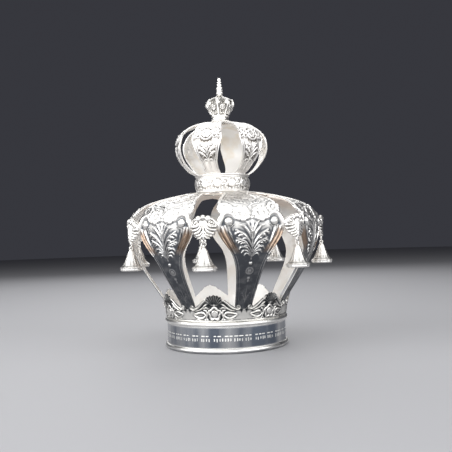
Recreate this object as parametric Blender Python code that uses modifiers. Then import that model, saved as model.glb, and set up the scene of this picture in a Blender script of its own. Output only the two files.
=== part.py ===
"""A silver parade crown for a scroll, standing on its own open base.

From the ground up: a polished base drum between two half-round mouldings, a scalloped crest, seven
chased arms that swell out and close over a shoulder, seven cast bows that each hang a bell between
two arms, a neck ring, six smaller arms, a tiny pierced crown and a turned spire.

Lengths in the constants are millimetres; MM turns them into Blender's metres. +Z is up, the origin is
on the crown's axis at its underside, and the bell at the front hangs on the -Y side.
"""

import math

import bmesh
import bpy
from mathutils import Matrix, Vector
from mathutils.geometry import interpolate_bezier

MM = 0.001
FIT_GAP = 0.3  # between pieces that the silversmith solders or links together

ARM_COUNT = 7
UPPER_ARM_COUNT = 6
UPPER_TURN = math.radians(-8)  # the upper crown is soldered on a little turned
SHEET = 0.8  # thickness of the chased sheet

# Base drum and crest: radius, height
BAND_RADIUS = 87.4
BAND_BORE = 86.2
MOULDING_RADIUS = 3.25  # both half-round wires
FOOT_MOULDING_HEIGHT = 3.25
TOP_MOULDING_HEIGHT = 39.2
DRUM_TOP = 42.4
CREST_WALL = 0.9
CREST_LOW = 60.5  # top edge of the crest in front of an arm's foot
CREST_PEAK = 80.0
CREST_FLARE = 7.4  # how far the crest leans out over its full height
CREST_FLARE_POWER = 1.4
CREST_SHAPE = 2.6  # a higher power makes narrower peaks

# Arms: Bezier stretches of the outer profile, as (radius, height) points
ARM_PROFILE = (
    ((85.2, 34.0), (85.2, 51.0), (86.6, 60.0), (91.4, 68.5)),
    ((91.4, 68.5), (106.4, 94.5), (138.4, 130.0), (138.4, 172.5)),
    ((138.4, 172.5), (138.4, 184.8), (131.8, 196.0), (118.6, 202.6)),
    ((118.6, 202.6), (102.0, 211.0), (56.0, 221.0), (36.5, 221.4)),
)
# Half of an arm's width at heights on the way up to the shoulder
ARM_HALF_WIDTHS = (
    (34, 11.0),
    (62, 11.8),
    (80, 13.4),
    (98, 15.6),
    (116, 18.8),
    (127, 22.4),
    (136, 26.6),
    (147, 35.2),
    (156, 41.6),
    (166, 46.0),
    (176, 46.6),
    (186, 41.0),
    (196, 43.6),
)
# The slot between two arms over the shoulder: half of its width, the radius at which it closes, the
# length of its closing arch, and the two powers that make the arch round
SLOT = (14.4, 62.0, 14.4, 2, 0.5)
ARM_ROW_HEIGHTS = (34, 50, 64, 90, 116, 129, 141, 154, 166, 177, 186, 196)
ARM_ROW_RADII = (117, 92, 68, 61.9, 36.5)

# Upper arms
UPPER_PROFILE = (
    ((39.6, 248.2), (47.4, 251.4), (67.2, 271.0), (67.2, 288.0)),
    ((67.2, 288.0), (67.2, 318.5), (38.0, 323.0), (9.0, 326.9)),
)
UPPER_HALF_WIDTHS = (
    (248, 10.8),
    (256, 11.0),
    (263, 11.9),
    (272, 15.0),
    (281, 18.6),
    (290, 21.0),
)
UPPER_SLOT = (12.4, 34.0, 30.0, 1, 0.6)  # a pointed arch
UPPER_ROW_HEIGHTS = (248.2, 263, 272, 281, 290)
UPPER_ROW_RADII = (65, 56, 42, 33.9, 9.0)

# Heights between which an arm's relief rises out of its plain foot
RELIEF_START = ((66, 0), (78, 1))
UPPER_RELIEF_START = ((254, 0), (264, 0.7))
# Relief of an arm across its half width: share of the half width, height over the sheet
ARM_RELIEF = ((0.0, 1.0), (0.42, 0.0), (0.84, 1.4), (1.0, 0.2))
UPPER_ARM_RELIEF = ((0.0, 0.0), (0.8, 1.4), (1.0, 0.2))

# Bells, links and bows
BELL_AXIS_RADIUS = 145.2
BELL_PROFILE = (
    (0.0, 143.8),
    (4.6, 142.8),
    (6.4, 139.4),
    (10.4, 126.6),
    (15.2, 118.8),
    (14.2, 114.4),
    (9.6, 126.2),
    (5.6, 138.6),
    (0.0, 142.7),
)
BELL_EYE = (145.4, 2.2, 0.6)  # height of the centre, radius of the ring, radius of the wire
LINK = (148.5, 2.9, 0.5)
BOW_THICKNESS = 1.8
BOW_BEND = 7.0  # how far the bow's ends fall back from its middle to reach the arms
BOW_EYE_HEIGHT = 151.9
BOW_EYE_RADIUS = 1.8
# Half of the bow's outline from the tip up its right side: distance from the middle, height
BOW_OUTLINE = (
    (2.2, 149.4),
    (3.4, 152.6),
    (7.0, 154.4),
    (9.6, 159.0),
    (13.2, 164.0),
    (14.8, 169.0),
    (17.4, 170.4),
    (17.6, 174.8),
    (15.0, 177.8),
    (11.4, 181.8),
    (6.4, 182.0),
    (3.0, 185.2),
)
BOW_REACH = max(x for x, _ in BOW_OUTLINE)

# Neck ring, tiny crown and spire, turned profiles from the top down the outside: radius, height
NECK_PROFILE = (
    (39.8, 247.9),
    (39.8, 246.4),
    (38.2, 244.8),
    (40.0, 239.0),
    (40.2, 233.4),
    (38.2, 225.8),
    (39.6, 223.4),
    (39.6, 221.9),
    (37.0, 221.9),
    (37.0, 247.9),
)
TINY_CROWN_PROFILE = (
    (12.6, 327.2),
    (11.9, 332.4),
    (12.9, 338.0),
    (15.8, 343.4),
    (19.0, 349.6),
    (20.0, 355.0),
    (18.2, 359.6),
    (11.0, 363.6),
    (4.6, 366.2),
)
TINY_CROWN_RIBS = 8
TINY_CROWN_OPEN_ROWS = range(3, 6)  # rows of the profile pierced between the ribs
TINY_CROWN_WALL = 1.0
SPIRE_FOOT = 366.8
SPIRE_RINGS = (  # height of the middle, radius, half of the height
    (370.8, 5.1, 1.8),
    (374.5, 4.4, 1.2),
    (377.8, 4.7, 1.8),
    (382.8, 3.6, 1.9),
    (386.7, 3.4, 1.2),
    (389.8, 2.8, 1.2),
    (392.1, 2.3, 1.6),
)
SPIRE_CORE = 0.62  # radius between the rings, as a share of the ring above

ARM_STEP = math.tau / ARM_COUNT


def clear_scene():
    for old in list(bpy.data.objects):
        bpy.data.objects.remove(old, do_unlink=True)


def metal(name, colour, roughness):
    """A polished or satin metal with one base colour."""
    made = bpy.data.materials.new(name)
    made.use_nodes = True
    shader = made.node_tree.nodes["Principled BSDF"]
    shader.inputs["Base Color"].default_value = (*colour, 1)
    shader.inputs["Metallic"].default_value = 1
    shader.inputs["Roughness"].default_value = roughness
    made.diffuse_color = (*colour, 1)
    return made


def add(name, shape, material, turn=0.0):
    """Puts a mesh or a curve into the crown's collection, turned about its axis from the front."""
    piece = bpy.data.objects.new(name, shape)
    piece.rotation_euler.z = turn
    if not shape.materials:
        shape.materials.append(material)
    crown.objects.link(piece)
    piece.parent = axis
    return piece


def mesh_from(name, shape):
    """Turns a bmesh in millimetres into a smooth-shaded mesh in metres and frees it."""
    bmesh.ops.scale(shape, vec=(MM, MM, MM), verts=shape.verts)
    made = bpy.data.meshes.new(name)
    shape.to_mesh(made)
    shape.free()
    made.shade_smooth()
    made.set_sharp_from_angle(angle=math.radians(40))
    return made


def around(radius, angle, height):
    """A point at an angle round the axis, counted from -Y towards +X."""
    return Vector((radius * math.sin(angle), -radius * math.cos(angle), height))


def turned(name, profile, material, steps, closed=True):
    """A profile in (radius, height) turned round the axis. A closed one is a ring."""
    shape = bmesh.new()
    points = [shape.verts.new((radius, 0, height)) for radius, height in profile]
    for first, second in zip(points, points[1:]):
        shape.edges.new((first, second))
    if closed:
        shape.edges.new((points[-1], points[0]))
    piece = add(name, mesh_from(name, shape), material)
    screw = piece.modifiers.new("turn", "SCREW")
    screw.steps = screw.render_steps = steps
    screw.use_merge_vertices = True
    screw.merge_threshold = 0.00001
    screw.use_smooth_shade = True
    return piece


def half_round(centre_radius, centre_height, radius, steps=3):
    """Points of a half-round wire's outer side, from its top to its bottom."""
    angles = [math.pi / 2 - math.pi * i / steps for i in range(steps + 1)]
    return [
        (centre_radius + radius * math.cos(a), centre_height + radius * math.sin(a)) for a in angles
    ]


def make_base_drum(material):
    wire_centre = BAND_RADIUS - 0.6
    profile = half_round(wire_centre, TOP_MOULDING_HEIGHT, DRUM_TOP - TOP_MOULDING_HEIGHT)
    profile += half_round(wire_centre, FOOT_MOULDING_HEIGHT, MOULDING_RADIUS)
    profile += [(BAND_BORE - 1.6, 0), (BAND_BORE - 1.6, 3), (BAND_BORE, 4.4), (BAND_BORE, DRUM_TOP)]
    turned("base_drum", profile, material, steps=5 * ARM_COUNT)


def crest_edge(angle):
    """Height of the crest's top edge. It peaks under each bell and is lowest before each arm."""
    share = abs((angle / ARM_STEP + 0.5) % 1 - 0.5) * 2
    return CREST_LOW + (CREST_PEAK - CREST_LOW) * math.cos(share * math.pi / 2) ** CREST_SHAPE


def crest_radius(height):
    rise = (height - DRUM_TOP) / (CREST_PEAK - DRUM_TOP)
    return BAND_RADIUS + CREST_FLARE * max(rise, 0) ** CREST_FLARE_POWER


def make_crest(material):
    columns, rows = 6 * ARM_COUNT, 2
    bottom = DRUM_TOP + FIT_GAP

    def place(u, v):
        angle = u * math.pi
        height = bottom + v * (crest_edge(angle) - bottom)
        return around(crest_radius(height), angle, height)

    shape = wrapped_grid([-1 + 2 * i / columns for i in range(columns + 1)], rows, place)
    bmesh.ops.remove_doubles(shape, verts=shape.verts, dist=0.01)
    piece = add("crest", mesh_from("crest", shape), material)
    thicken(piece, CREST_WALL)


def wrapped_grid(columns, rows, place):
    """A flat grid whose columns lie at the given places and whose points are carried to a surface."""
    shape = bmesh.new()
    bmesh.ops.create_grid(shape, x_segments=len(columns) - 1, y_segments=rows, size=0.5)
    for point in shape.verts:
        column = round((point.co.x + 0.5) * (len(columns) - 1))
        point.co = place(columns[column], point.co.y + 0.5)
    return shape


def thicken(piece, wall):
    """Gives an open sheet its wall, on the inner side."""
    solid = piece.modifiers.new("wall", "SOLIDIFY")
    solid.thickness = wall * MM
    solid.offset = -1
    solid.use_even_offset = True
    return solid


def between(stations, place):
    """Reads a value from (place, value) stations by straight lines."""
    if place <= stations[0][0]:
        return stations[0][1]
    for (low, first), (high, second) in zip(stations, stations[1:]):
        if place <= high:
            return first + (second - first) * (place - low) / (high - low)
    return stations[-1][1]


def profile_samples(profile, resolution=60):
    """(radius, height, outward normal) all along a profile of Bezier stretches, foot first."""
    points = []
    for stretch in profile:
        points += interpolate_bezier(*[Vector(p) for p in stretch], resolution)[:-1]
    points.append(Vector(profile[-1][-1]))
    samples = []
    for i, point in enumerate(points):
        run = points[min(i + 1, len(points) - 1)] - points[max(i - 1, 0)]
        samples.append((point.x, point.y, Vector((run.y, -run.x)).normalized()))
    return samples


def rows_of(profile, heights, radii):
    """The samples nearest to the given heights on the way up, then to the radii on the way in."""
    samples = profile_samples(profile)
    widest = max(range(len(samples)), key=lambda i: samples[i][0])
    rising = samples[: widest + len(samples) // 6]
    closing = samples[widest:]
    rows = [min(rising, key=lambda s: abs(s[1] - height)) for height in heights]
    return rows + [min(closing, key=lambda s: abs(s[0] - radius)) for radius in radii]


def slot_half(radius, slot):
    """Half of the slot's width over the shoulder, which narrows to nothing along its arch."""
    half_width, end, arch, bend, power = slot
    share = min(max((radius - end) / arch, 0), 1)
    return half_width * (1 - (1 - share) ** bend) ** power


def arm_mesh(name, rows, rising_count, half_widths, count, slot, relief_start, relief_across):
    """One arm's outer face: a ribbed sheet that follows the profile and fans out under the neck."""
    sides = [-share for share, _ in reversed(relief_across)] + [s for s, _ in relief_across[1:]]
    def place(u, v):
        index = round(v * (len(rows) - 1))
        radius, height, normal = rows[index]
        if index < rising_count:
            half_angle = between(half_widths, height) / radius
            relief = between(relief_start, height)
        else:
            open_half = slot_half(radius, slot)
            half_angle = math.pi / count - max(open_half, FIT_GAP * 0.7) / radius
            relief = relief_start[-1][1] * min(1, max(0, radius - slot[1]) / slot[0])
        lift = relief * between(relief_across, abs(u))
        return around(radius + normal.x * lift, u * half_angle, height + normal.y * lift)

    return mesh_from(name, wrapped_grid(sides, len(rows) - 1, place))


def make_arms(material):
    rows = rows_of(ARM_PROFILE, ARM_ROW_HEIGHTS, ARM_ROW_RADII)
    shape = arm_mesh(
        "stave",
        rows,
        len(ARM_ROW_HEIGHTS),
        ARM_HALF_WIDTHS,
        ARM_COUNT,
        SLOT,
        RELIEF_START,
        ARM_RELIEF,
    )
    for i in range(ARM_COUNT):
        thicken(add(f"stave_{i + 1}", shape, material, (i + 0.5) * ARM_STEP), SHEET)


def make_upper_arms(material):
    rows = rows_of(UPPER_PROFILE, UPPER_ROW_HEIGHTS, UPPER_ROW_RADII)
    shape = arm_mesh(
        "upper_stave",
        rows,
        len(UPPER_ROW_HEIGHTS),
        UPPER_HALF_WIDTHS,
        UPPER_ARM_COUNT,
        UPPER_SLOT,
        UPPER_RELIEF_START,
        UPPER_ARM_RELIEF,
    )
    for i in range(UPPER_ARM_COUNT):
        turn = UPPER_TURN + i * math.tau / UPPER_ARM_COUNT
        thicken(add(f"upper_stave_{i + 1}", shape, material, turn), SHEET)


def ring_mesh(ring, facing, segments=7):
    """A wire ring that stands in the upright plane square to the facing direction."""
    height, radius, wire = ring
    shape = bmesh.new()
    start = Matrix.Translation((radius, 0, 0)) @ Matrix.Rotation(math.pi / 2, 4, "X")
    bmesh.ops.create_circle(shape, segments=4, radius=wire, matrix=start)
    bmesh.ops.spin(
        shape,
        geom=shape.edges[:],
        cent=(0, 0, 0),
        axis=(0, 0, 1),
        angle=math.tau,
        steps=segments,
        use_merge=True,
    )
    upright = Matrix.Rotation(math.pi / 2, 4, facing)
    centre = Matrix.Translation((0, -BELL_AXIS_RADIUS, height))
    bmesh.ops.transform(shape, matrix=centre @ upright, verts=shape.verts)
    bmesh.ops.recalc_face_normals(shape, faces=shape.faces)
    return shape


def make_bells(bell_material, link_material):
    """A thin turned bell with a wire eye on its crown, and the link that hangs it from a bow."""
    body = turned("bell_body", BELL_PROFILE, bell_material, steps=8, closed=False)
    body.location = Vector((0, -BELL_AXIS_RADIUS, 0)) * MM
    eye_mesh = mesh_from("bell_eye", ring_mesh(BELL_EYE, "X"))
    eye = add("bell_eye", eye_mesh, bell_material)
    for helper in (body, eye):
        crown.objects.unlink(helper)
        cutters.objects.link(helper)
        helper.hide_render = True
        helper.display_type = "WIRE"
    joined = body.modifiers.new("eye", "BOOLEAN")
    joined.operation = "UNION"
    joined.object = eye
    bpy.context.view_layer.update()
    graph = bpy.context.evaluated_depsgraph_get()
    bell = bpy.data.meshes.new_from_object(body.evaluated_get(graph))
    bell.transform(body.matrix_world)
    link = mesh_from("bell_ring", ring_mesh(LINK, "Y"))
    for i in range(ARM_COUNT):
        add(f"bell_{i + 1}", bell, bell_material, i * ARM_STEP)
        add(f"bell_ring_{i + 1}", link, link_material, i * ARM_STEP)
    for helper in (body, eye):
        bpy.data.objects.remove(helper)


def make_bows(material):
    """A flat cut-out with an eye at its tip, bent back at its ends."""
    edge = list(BOW_OUTLINE) + [(-x, height) for x, height in reversed(BOW_OUTLINE)]
    corners = [math.tau * i / 6 for i in range(6)]
    eye = [
        (BOW_EYE_RADIUS * math.cos(a), BOW_EYE_HEIGHT + BOW_EYE_RADIUS * math.sin(a))
        for a in corners
    ]
    shape = bmesh.new()
    for loop in (edge, eye):
        points = [shape.verts.new((x, 0, height)) for x, height in loop]
        for first, second in zip(points, points[1:] + points[:1]):
            shape.edges.new((first, second))
    bmesh.ops.triangle_fill(shape, use_beauty=True, edges=shape.edges[:], normal=(0, -1, 0))
    for point in shape.verts:
        point.co.y = BOW_BEND * (point.co.x / BOW_REACH) ** 2 - BELL_AXIS_RADIUS
    plate = mesh_from("bow", shape)
    for i in range(ARM_COUNT):
        thicken(add(f"bow_{i + 1}", plate, material, i * ARM_STEP), BOW_THICKNESS).offset = 0


def make_tiny_crown(material):
    """Eight bulging ribs on a ring, meeting at the top: a turned sheet pierced between the ribs."""
    columns = 2 * TINY_CROWN_RIBS
    rows = len(TINY_CROWN_PROFILE) - 1

    def place(u, v):
        radius, height = TINY_CROWN_PROFILE[round(v * rows)]
        return around(radius, u * math.pi, height)

    shape = wrapped_grid([-1 + 2 * i / columns for i in range(columns + 1)], rows, place)
    bmesh.ops.remove_doubles(shape, verts=shape.verts, dist=0.01)
    pierced = []
    for face in shape.faces:
        middle = face.calc_center_median()
        angle = math.atan2(middle.x, -middle.y) % math.tau
        row = sum(height < middle.z for _, height in TINY_CROWN_PROFILE) - 1
        if row in TINY_CROWN_OPEN_ROWS and int(angle / (math.tau / columns)) % 2:
            pierced.append(face)
    bmesh.ops.delete(shape, geom=pierced, context="FACES")
    thicken(add("finial_crown", mesh_from("finial_crown", shape), material), TINY_CROWN_WALL)


def make_spire(material):
    profile = [(0, SPIRE_RINGS[-1][0] + SPIRE_RINGS[-1][2])]
    for height, radius, half in reversed(SPIRE_RINGS):
        core = SPIRE_CORE * radius
        if profile[-1][0]:
            profile.append((core, height + half))
        profile += [(radius, height + half * 0.4), (radius, height - half * 0.4)]
        profile.append((core, height - half))
    profile += [(4.8, SPIRE_FOOT), (0, SPIRE_FOOT)]
    turned("spire", profile, material, steps=7, closed=False)


clear_scene()
crown = bpy.data.collections.new("torah_crown")
cutters = bpy.data.collections.new("cutters")
bpy.context.scene.collection.children.link(crown)
bpy.context.scene.collection.children.link(cutters)
axis = bpy.data.objects.new("crown_axis", None)
crown.objects.link(axis)

mirror_silver = metal("mirror_silver", (0.82, 0.82, 0.80), 0.08)
chased_silver = metal("chased_silver", (0.78, 0.77, 0.73), 0.22)
cast_silver = metal("cast_silver", (0.80, 0.79, 0.76), 0.16)

make_base_drum(mirror_silver)
make_crest(chased_silver)
make_arms(chased_silver)
make_bows(cast_silver)
make_bells(mirror_silver, cast_silver)
turned("neck_ring", NECK_PROFILE, chased_silver, steps=24)
make_upper_arms(chased_silver)
make_tiny_crown(cast_silver)
make_spire(mirror_silver)
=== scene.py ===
# %% [markdown]
# # A silver crown for a scroll
# A silversmith builds this crown from sheet: a turned drum, a chased crest, seven arms that swell
# out and close over a shoulder, seven cast bows with bells, a neck ring, six smaller arms, a tiny
# pierced crown and a turned spire. The solids of the frame give the places and the sizes. Here each
# piece gets the surface that the punches, the saw and the buff leave on it.

# %% Load the frame
import math

import bpy
import numpy as np
from mathutils import Matrix, Vector


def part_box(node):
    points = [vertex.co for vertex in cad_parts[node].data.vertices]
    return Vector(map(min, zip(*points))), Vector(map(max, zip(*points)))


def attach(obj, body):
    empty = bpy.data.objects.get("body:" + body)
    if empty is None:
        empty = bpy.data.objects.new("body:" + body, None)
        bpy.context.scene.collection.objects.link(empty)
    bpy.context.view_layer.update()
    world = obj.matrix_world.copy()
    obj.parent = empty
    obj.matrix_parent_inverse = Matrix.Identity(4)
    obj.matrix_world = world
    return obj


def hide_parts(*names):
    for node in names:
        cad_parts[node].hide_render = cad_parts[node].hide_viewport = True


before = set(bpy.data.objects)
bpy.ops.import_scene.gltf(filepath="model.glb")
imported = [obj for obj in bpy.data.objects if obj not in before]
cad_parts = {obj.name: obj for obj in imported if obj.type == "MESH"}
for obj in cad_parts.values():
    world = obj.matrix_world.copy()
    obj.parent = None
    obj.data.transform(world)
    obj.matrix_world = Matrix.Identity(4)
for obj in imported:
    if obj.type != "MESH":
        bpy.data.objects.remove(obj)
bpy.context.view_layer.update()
bpy.ops.object.select_all(action="DESELECT")

# %% [markdown]
# ## Sizes
# The outlines in this lesson are those of the solids, in millimetres, so that a chased sheet lies
# where its solid lies. Heights that a box can tell are read from the frame, because a size that is
# written down twice soon has two values.

# %% Sizes
MM = 0.001
ARM_COUNT = 7
ARM_STEP = math.tau / ARM_COUNT
UPPER_ARM_COUNT = 6
SHEET = 0.8  # thickness of the chased sheet


def levels(node):
    """Heights of a solid's foot and top."""
    return [corner.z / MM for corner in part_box(node)]


print("the crown stands", round(levels("spire")[1], 1), "mm high")

# %% [markdown]
# ## Points as arrays
# A chased arm has over thirty thousand points. Moving them one at a time in Python would take
# minutes, so these tools read and write all of them as one array. Everything on the crown is placed
# round its upright axis, from the front, so one function turns radius, angle and height into x, y
# and z.


# %% Read, move and place points
def points_of(piece):
    """All points of a piece as an array of x, y, z rows."""
    flat = np.empty(len(piece.data.vertices) * 3, np.float32)
    piece.data.vertices.foreach_get("co", flat)
    return flat.reshape(-1, 3).astype(float)


def move_points(piece, places):
    piece.data.vertices.foreach_set("co", np.asarray(places, np.float32).ravel())
    piece.data.update()


def place_around(radius, angle, height):
    """Places in metres at angles round the axis, counted from -Y towards +X."""
    return np.stack((radius * np.sin(angle), -radius * np.cos(angle), height), -1) * MM


# %% [markdown]
# ## Edit mode from code
# An operator in edit mode acts on what is selected. By hand one clicks the faces. In a script they
# are selected by a rule on their places and normals, which picks the same faces on every run.
# The other way, bmesh, needs no selection, but then the steps are not those of the menus.


# %% Select and edit
def only(piece):
    """Makes one piece the selected and active one."""
    bpy.ops.object.select_all(action="DESELECT")
    piece.select_set(True)
    bpy.context.view_layer.objects.active = piece


def edit(piece, operator, rule=None, **settings):
    """Runs an edit-mode operator on all of a piece, or on the faces that pass a rule on their
    centres and normals."""
    only(piece)
    bpy.ops.object.mode_set(mode="EDIT")
    if rule:
        bpy.ops.mesh.select_mode(type="FACE")
        bpy.ops.mesh.select_all(action="DESELECT")
        bpy.ops.object.mode_set(mode="OBJECT")
        faces = piece.data.polygons
        centres, normals = np.empty(len(faces) * 3), np.empty(len(faces) * 3)
        faces.foreach_get("center", centres)
        faces.foreach_get("normal", normals)
        faces.foreach_set("select", rule(centres.reshape(-1, 3), normals.reshape(-1, 3)))
        bpy.ops.object.mode_set(mode="EDIT")
    else:
        bpy.ops.mesh.select_all(action="SELECT")
    operator(**settings)
    bpy.ops.object.mode_set(mode="OBJECT")


def shade(piece, degrees=50):
    """Shades smooth, apart from edges that are sharper than the angle."""
    only(piece)
    bpy.ops.object.shade_smooth_by_angle(angle=math.radians(degrees))


# %% [markdown]
# ## The blank
# A smith saws a flat blank, works it in a bowl of pitch and bends it last. The same order is the
# easiest in Blender: a grid is thickened while it is flat, the faces of its front are subdivided so
# that only the side that carries ornament is dense, the points of the front are raised, and then
# all points are carried to the bent surface. Sculpting the bent arm by hand would also work, but
# seven arms would then never match.


# %% Cut a blank
def flat_blank(name, columns, rows, fineness, ring=False, kept=None):
    """A thick flat sheet whose front has fineness times as many rows and columns as its back."""
    bpy.ops.object.select_all(action="DESELECT")
    bpy.ops.mesh.primitive_grid_add(x_subdivisions=columns, y_subdivisions=rows, size=1)
    blank = bpy.context.object
    blank.name = name
    if kept is not None:

        def sawn_away(at, facing):
            column = ((at[:, 0] + 0.5) * columns).astype(int)
            row = ((at[:, 1] + 0.5) * rows).astype(int)
            return ~kept[row, column]

        edit(blank, bpy.ops.mesh.delete, sawn_away, type="FACE")
    wall = blank.modifiers.new("wall", "SOLIDIFY")
    wall.thickness = 1
    bpy.ops.object.modifier_apply(modifier="wall")
    if ring:  # its two ends will meet, so they stay open
        edit(blank, bpy.ops.mesh.delete, lambda at, facing: abs(at[:, 0]) > 0.4999, type="ONLY_FACE")
    if fineness > 1:
        cuts = fineness - 1
        edit(blank, bpy.ops.mesh.subdivide, lambda at, facing: facing[:, 2] > 0.9, number_cuts=cuts)
    return blank


# %% [markdown]
# ## The sheet in the pitch
# The points of a blank's front form a lattice, so all that is done to it can be collected in arrays
# of the same shape before any of it reaches the mesh: how high the ornament stands, and how matted
# and how dark the ground is. One array for each is easier to read than a table of points.


# %% Lay the sheet in the pitch
class Sheet:
    """The front of a blank in the pitch: places across and along it, and what is done to it."""

    def __init__(self, columns, rows, fineness=1):
        self.cells = columns, rows, fineness
        across = np.linspace(-1, 1, columns * fineness + 1)
        along = np.linspace(0, 1, rows * fineness + 1)
        self.x, self.y = np.meshgrid(across, along)  # shares, until a piece sets its own places
        self.lift = np.zeros_like(self.x)  # height of the ornament
        self.edge = np.full_like(self.x, -9.0)  # distance inside the nearest ornament's outline
        self.form = np.zeros_like(self.x)  # broad shape under the ornament
        self.matt = np.zeros_like(self.x)  # how much the ground is matted with a point punch
        self.dark = np.zeros_like(self.x)  # how much the ground is darkened: oxide, and in places painted shade and dark reflection
        self.veil = np.zeros_like(self.x)  # how much everything is darkened: painted shade and dark reflection, and on some pieces an even dulling
        self.tinge = np.zeros_like(self.x)  # how much painted warm reflection the front has
        self.bloom = np.zeros_like(self.x)  # how much painted warm shade the inner side has
        self.age = np.ones_like(self.x)  # how much tarnish the hollows hold


# %% [markdown]
# ## How things fade
# Hardly anything on handmade work starts or ends sharply. Three small functions say how: a ramp
# between two places, a peak round one, and amounts between many. They would be Map Range and Color
# Ramp nodes in a material, but here they act on places along a sheet.


# %% Ramps and peaks
def ramp(values, start, end):
    """0 up to the start, 1 from the end on, and even between them."""
    return np.clip((values - start) / (end - start), 0, 1)


def peak(values, middle, width):
    """1 at the middle, and nearly nothing two widths away."""
    return np.exp(-(((values - middle) / width) ** 2))


def graded(values, stations):
    """Amounts between stations of (place, amount)."""
    return np.interp(values, *np.array(stations).T)


# %% [markdown]
# ## Lines to chase along
# An ornament is drawn as a few points, and a smooth line is laid through them, as a smith scribes it
# before the first blow. What a punch needs to know is then how far each point of the sheet lies from
# that line, how far along it, and on which side. A Bezier curve object would draw the line too, but
# it can't answer that.


# %% Lines to chase along
def curve_through(points, steps=8):
    """A smooth line through chosen points."""
    given = np.array(points, float)
    given = np.vstack((2 * given[0] - given[1], given, 2 * given[-1] - given[-2]))
    t = np.linspace(0, 1, steps, endpoint=False)[:, None]
    spans = []
    for a, b, c, d in zip(given, given[1:], given[2:], given[3:]):
        cubic = (3 * b - a - 3 * c + d) * t**3 + (2 * a - 5 * b + 4 * c - d) * t**2
        spans.append(0.5 * (cubic + (c - a) * t + 2 * b))
    return np.vstack(spans + [given[-2:-1]])


def beside(sheet, line, reach):
    """The points near a line: how far off they are, their share along it, their side, its length."""
    low, high = line.min(0) - reach, line.max(0) + reach
    inside = (sheet.x > low[0]) & (sheet.x < high[0]) & (sheet.y > low[1]) & (sheet.y < high[1])
    near = np.nonzero(inside)
    x, y = sheet.x[near], sheet.y[near]
    off, along, side = np.full(x.shape, 1e9), np.zeros(x.shape), np.zeros(x.shape)
    travelled = 0.0
    for (ax, ay), (bx, by) in zip(line, line[1:]):
        run = math.hypot(bx - ax, by - ay)
        t = np.clip(((x - ax) * (bx - ax) + (y - ay) * (by - ay)) / run**2, 0, 1)
        ex, ey = x - ax - t * (bx - ax), y - ay - t * (by - ay)
        here = np.hypot(ex, ey)
        closer = here < off
        off = np.where(closer, here, off)
        along = np.where(closer, travelled + t * run, along)
        side = np.where(closer, np.sign((bx - ax) * ey - (by - ay) * ex), side)
        travelled += run
    return near, off, along / travelled, side, travelled


def curl(centre, radius, start, turns, shrink=0.25):
    """Points of a spiral that winds in from its outer radius. Angles are in degrees."""
    count = max(int(abs(turns) * 10), 4)
    steps = np.linspace(0, 1, count + 1)
    angles = np.radians(start) + steps * turns * math.tau
    radii = radius * (1 - (1 - shrink) * steps)
    return [(centre[0] + r * math.cos(a), centre[1] + r * math.sin(a)) for r, a in zip(radii, angles)]


# %% [markdown]
# ## The ridge
# Chasing is a row of simple blows: a liner draws a line, and a rope tool twists it. Most of this
# crown is ridges, straight or curled, plain or twisted or creased, so one punch makes them all.
# Where two ornaments meet the higher one wins, which leaves the sharp valley that a punch leaves. A
# displacement image would be less work to apply, but its squares would show on the curls.


# %% Punch a ridge
def raise_points(sheet, near, inside, height):
    """Raises points inside an outline. inside is a distance in millimetres, positive within."""
    sheet.edge[near] = np.maximum(sheet.edge[near], inside)
    sheet.lift[near] = np.where(inside > 0, np.maximum(sheet.lift[near], height), sheet.lift[near])


def ridge(sheet, points, halves, height, twist=0.0, crease=0.0, foot=0.0):
    """A rounded ridge. halves are its half widths along the way, twist a rope's pitch."""
    near, off, along, side, length = beside(sheet, curve_through(points), max(halves) + 1)
    half = np.interp(along, np.linspace(0, 1, len(halves)), halves)
    across = off / half
    body = (0.5 + 0.5 * np.cos(np.clip(across, 0, 1) * math.pi)) ** 0.7
    body *= height * (half / max(halves)) ** 0.5
    if twist:
        body *= 0.93 + 0.07 * np.cos(math.tau * (along * length / twist + 0.9 * side * across))
    if crease:
        body *= 1 - crease * peak(across, 0, 0.28)
    raise_points(sheet, near, half - off, foot + body)


# %% [markdown]
# ## Beads and flowers
# A bead is one blow of a doming punch, and a flower is a ring of blows round it. Meshes could be
# modelled for them and joined on, but a chased flower has no underside: it is the sheet itself, so
# it is raised from the same points.


# %% Punch beads and flowers
def round_about(sheet, x, y, reach):
    """The points within reach of a place, how far they are across, along, and off."""
    near = np.nonzero(np.hypot(sheet.x - x, sheet.y - y) < reach)
    dx, dy = sheet.x[near] - x, sheet.y[near] - y
    return near, dx, dy, np.hypot(dx, dy)


def bead(sheet, points, radius, height, ring=0.0, foot=0.0):
    """A dome at each point, with a raised ring round it where ring gives the ring's width."""
    for x, y in points:
        near, _, _, off = round_about(sheet, x, y, radius + 2 * ring + 1)
        dome = np.clip(1 - (off / radius) ** 2, 0, 1) ** 0.75 * height
        raise_points(sheet, near, radius - off, foot + dome)
        if ring:
            across = np.clip(abs(off - radius - ring) / ring, 0, 1)
            inside = ring - abs(off - radius - ring)
            raise_points(sheet, near, inside, foot + (1 - across**2) * height * 0.5)


def flower(sheet, points, radius, petals, height, turn=0.0):
    """An open flower: puffed petals with narrow gaps, and a boss in a ring."""
    section = ((0, 0.6), (0.27, 0.6), (0.34, 0.4), (0.44, 0.84), (0.72, 1), (0.9, 0.86), (1, 0))
    for x, y in points:
        near, dx, dy, off = round_about(sheet, x, y, radius + 1)
        share = ((np.arctan2(dy, dx) + turn) * petals / math.tau) % 1 * 2 - 1
        outline = radius * (1 - 0.15 * abs(share) ** 3)
        out = np.clip(off / outline, 0, 1)
        gap = 0.34 * peak((1 - abs(share)) * out, 0, 0.09) * (out > 0.38)
        raise_points(sheet, near, outline - off, height * graded(out, section) * (1 - gap))
    bead(sheet, points, radius * 0.28, height * 0.42, foot=height * 0.3)


# %% [markdown]
# ## The rose
# Under each bell the crest has a rose, which is more than a flower: five broad petals with rolled
# rims overlap round a bud that coils inward. Its petals are five round blows, and a groove parts
# them from the bud.


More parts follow.
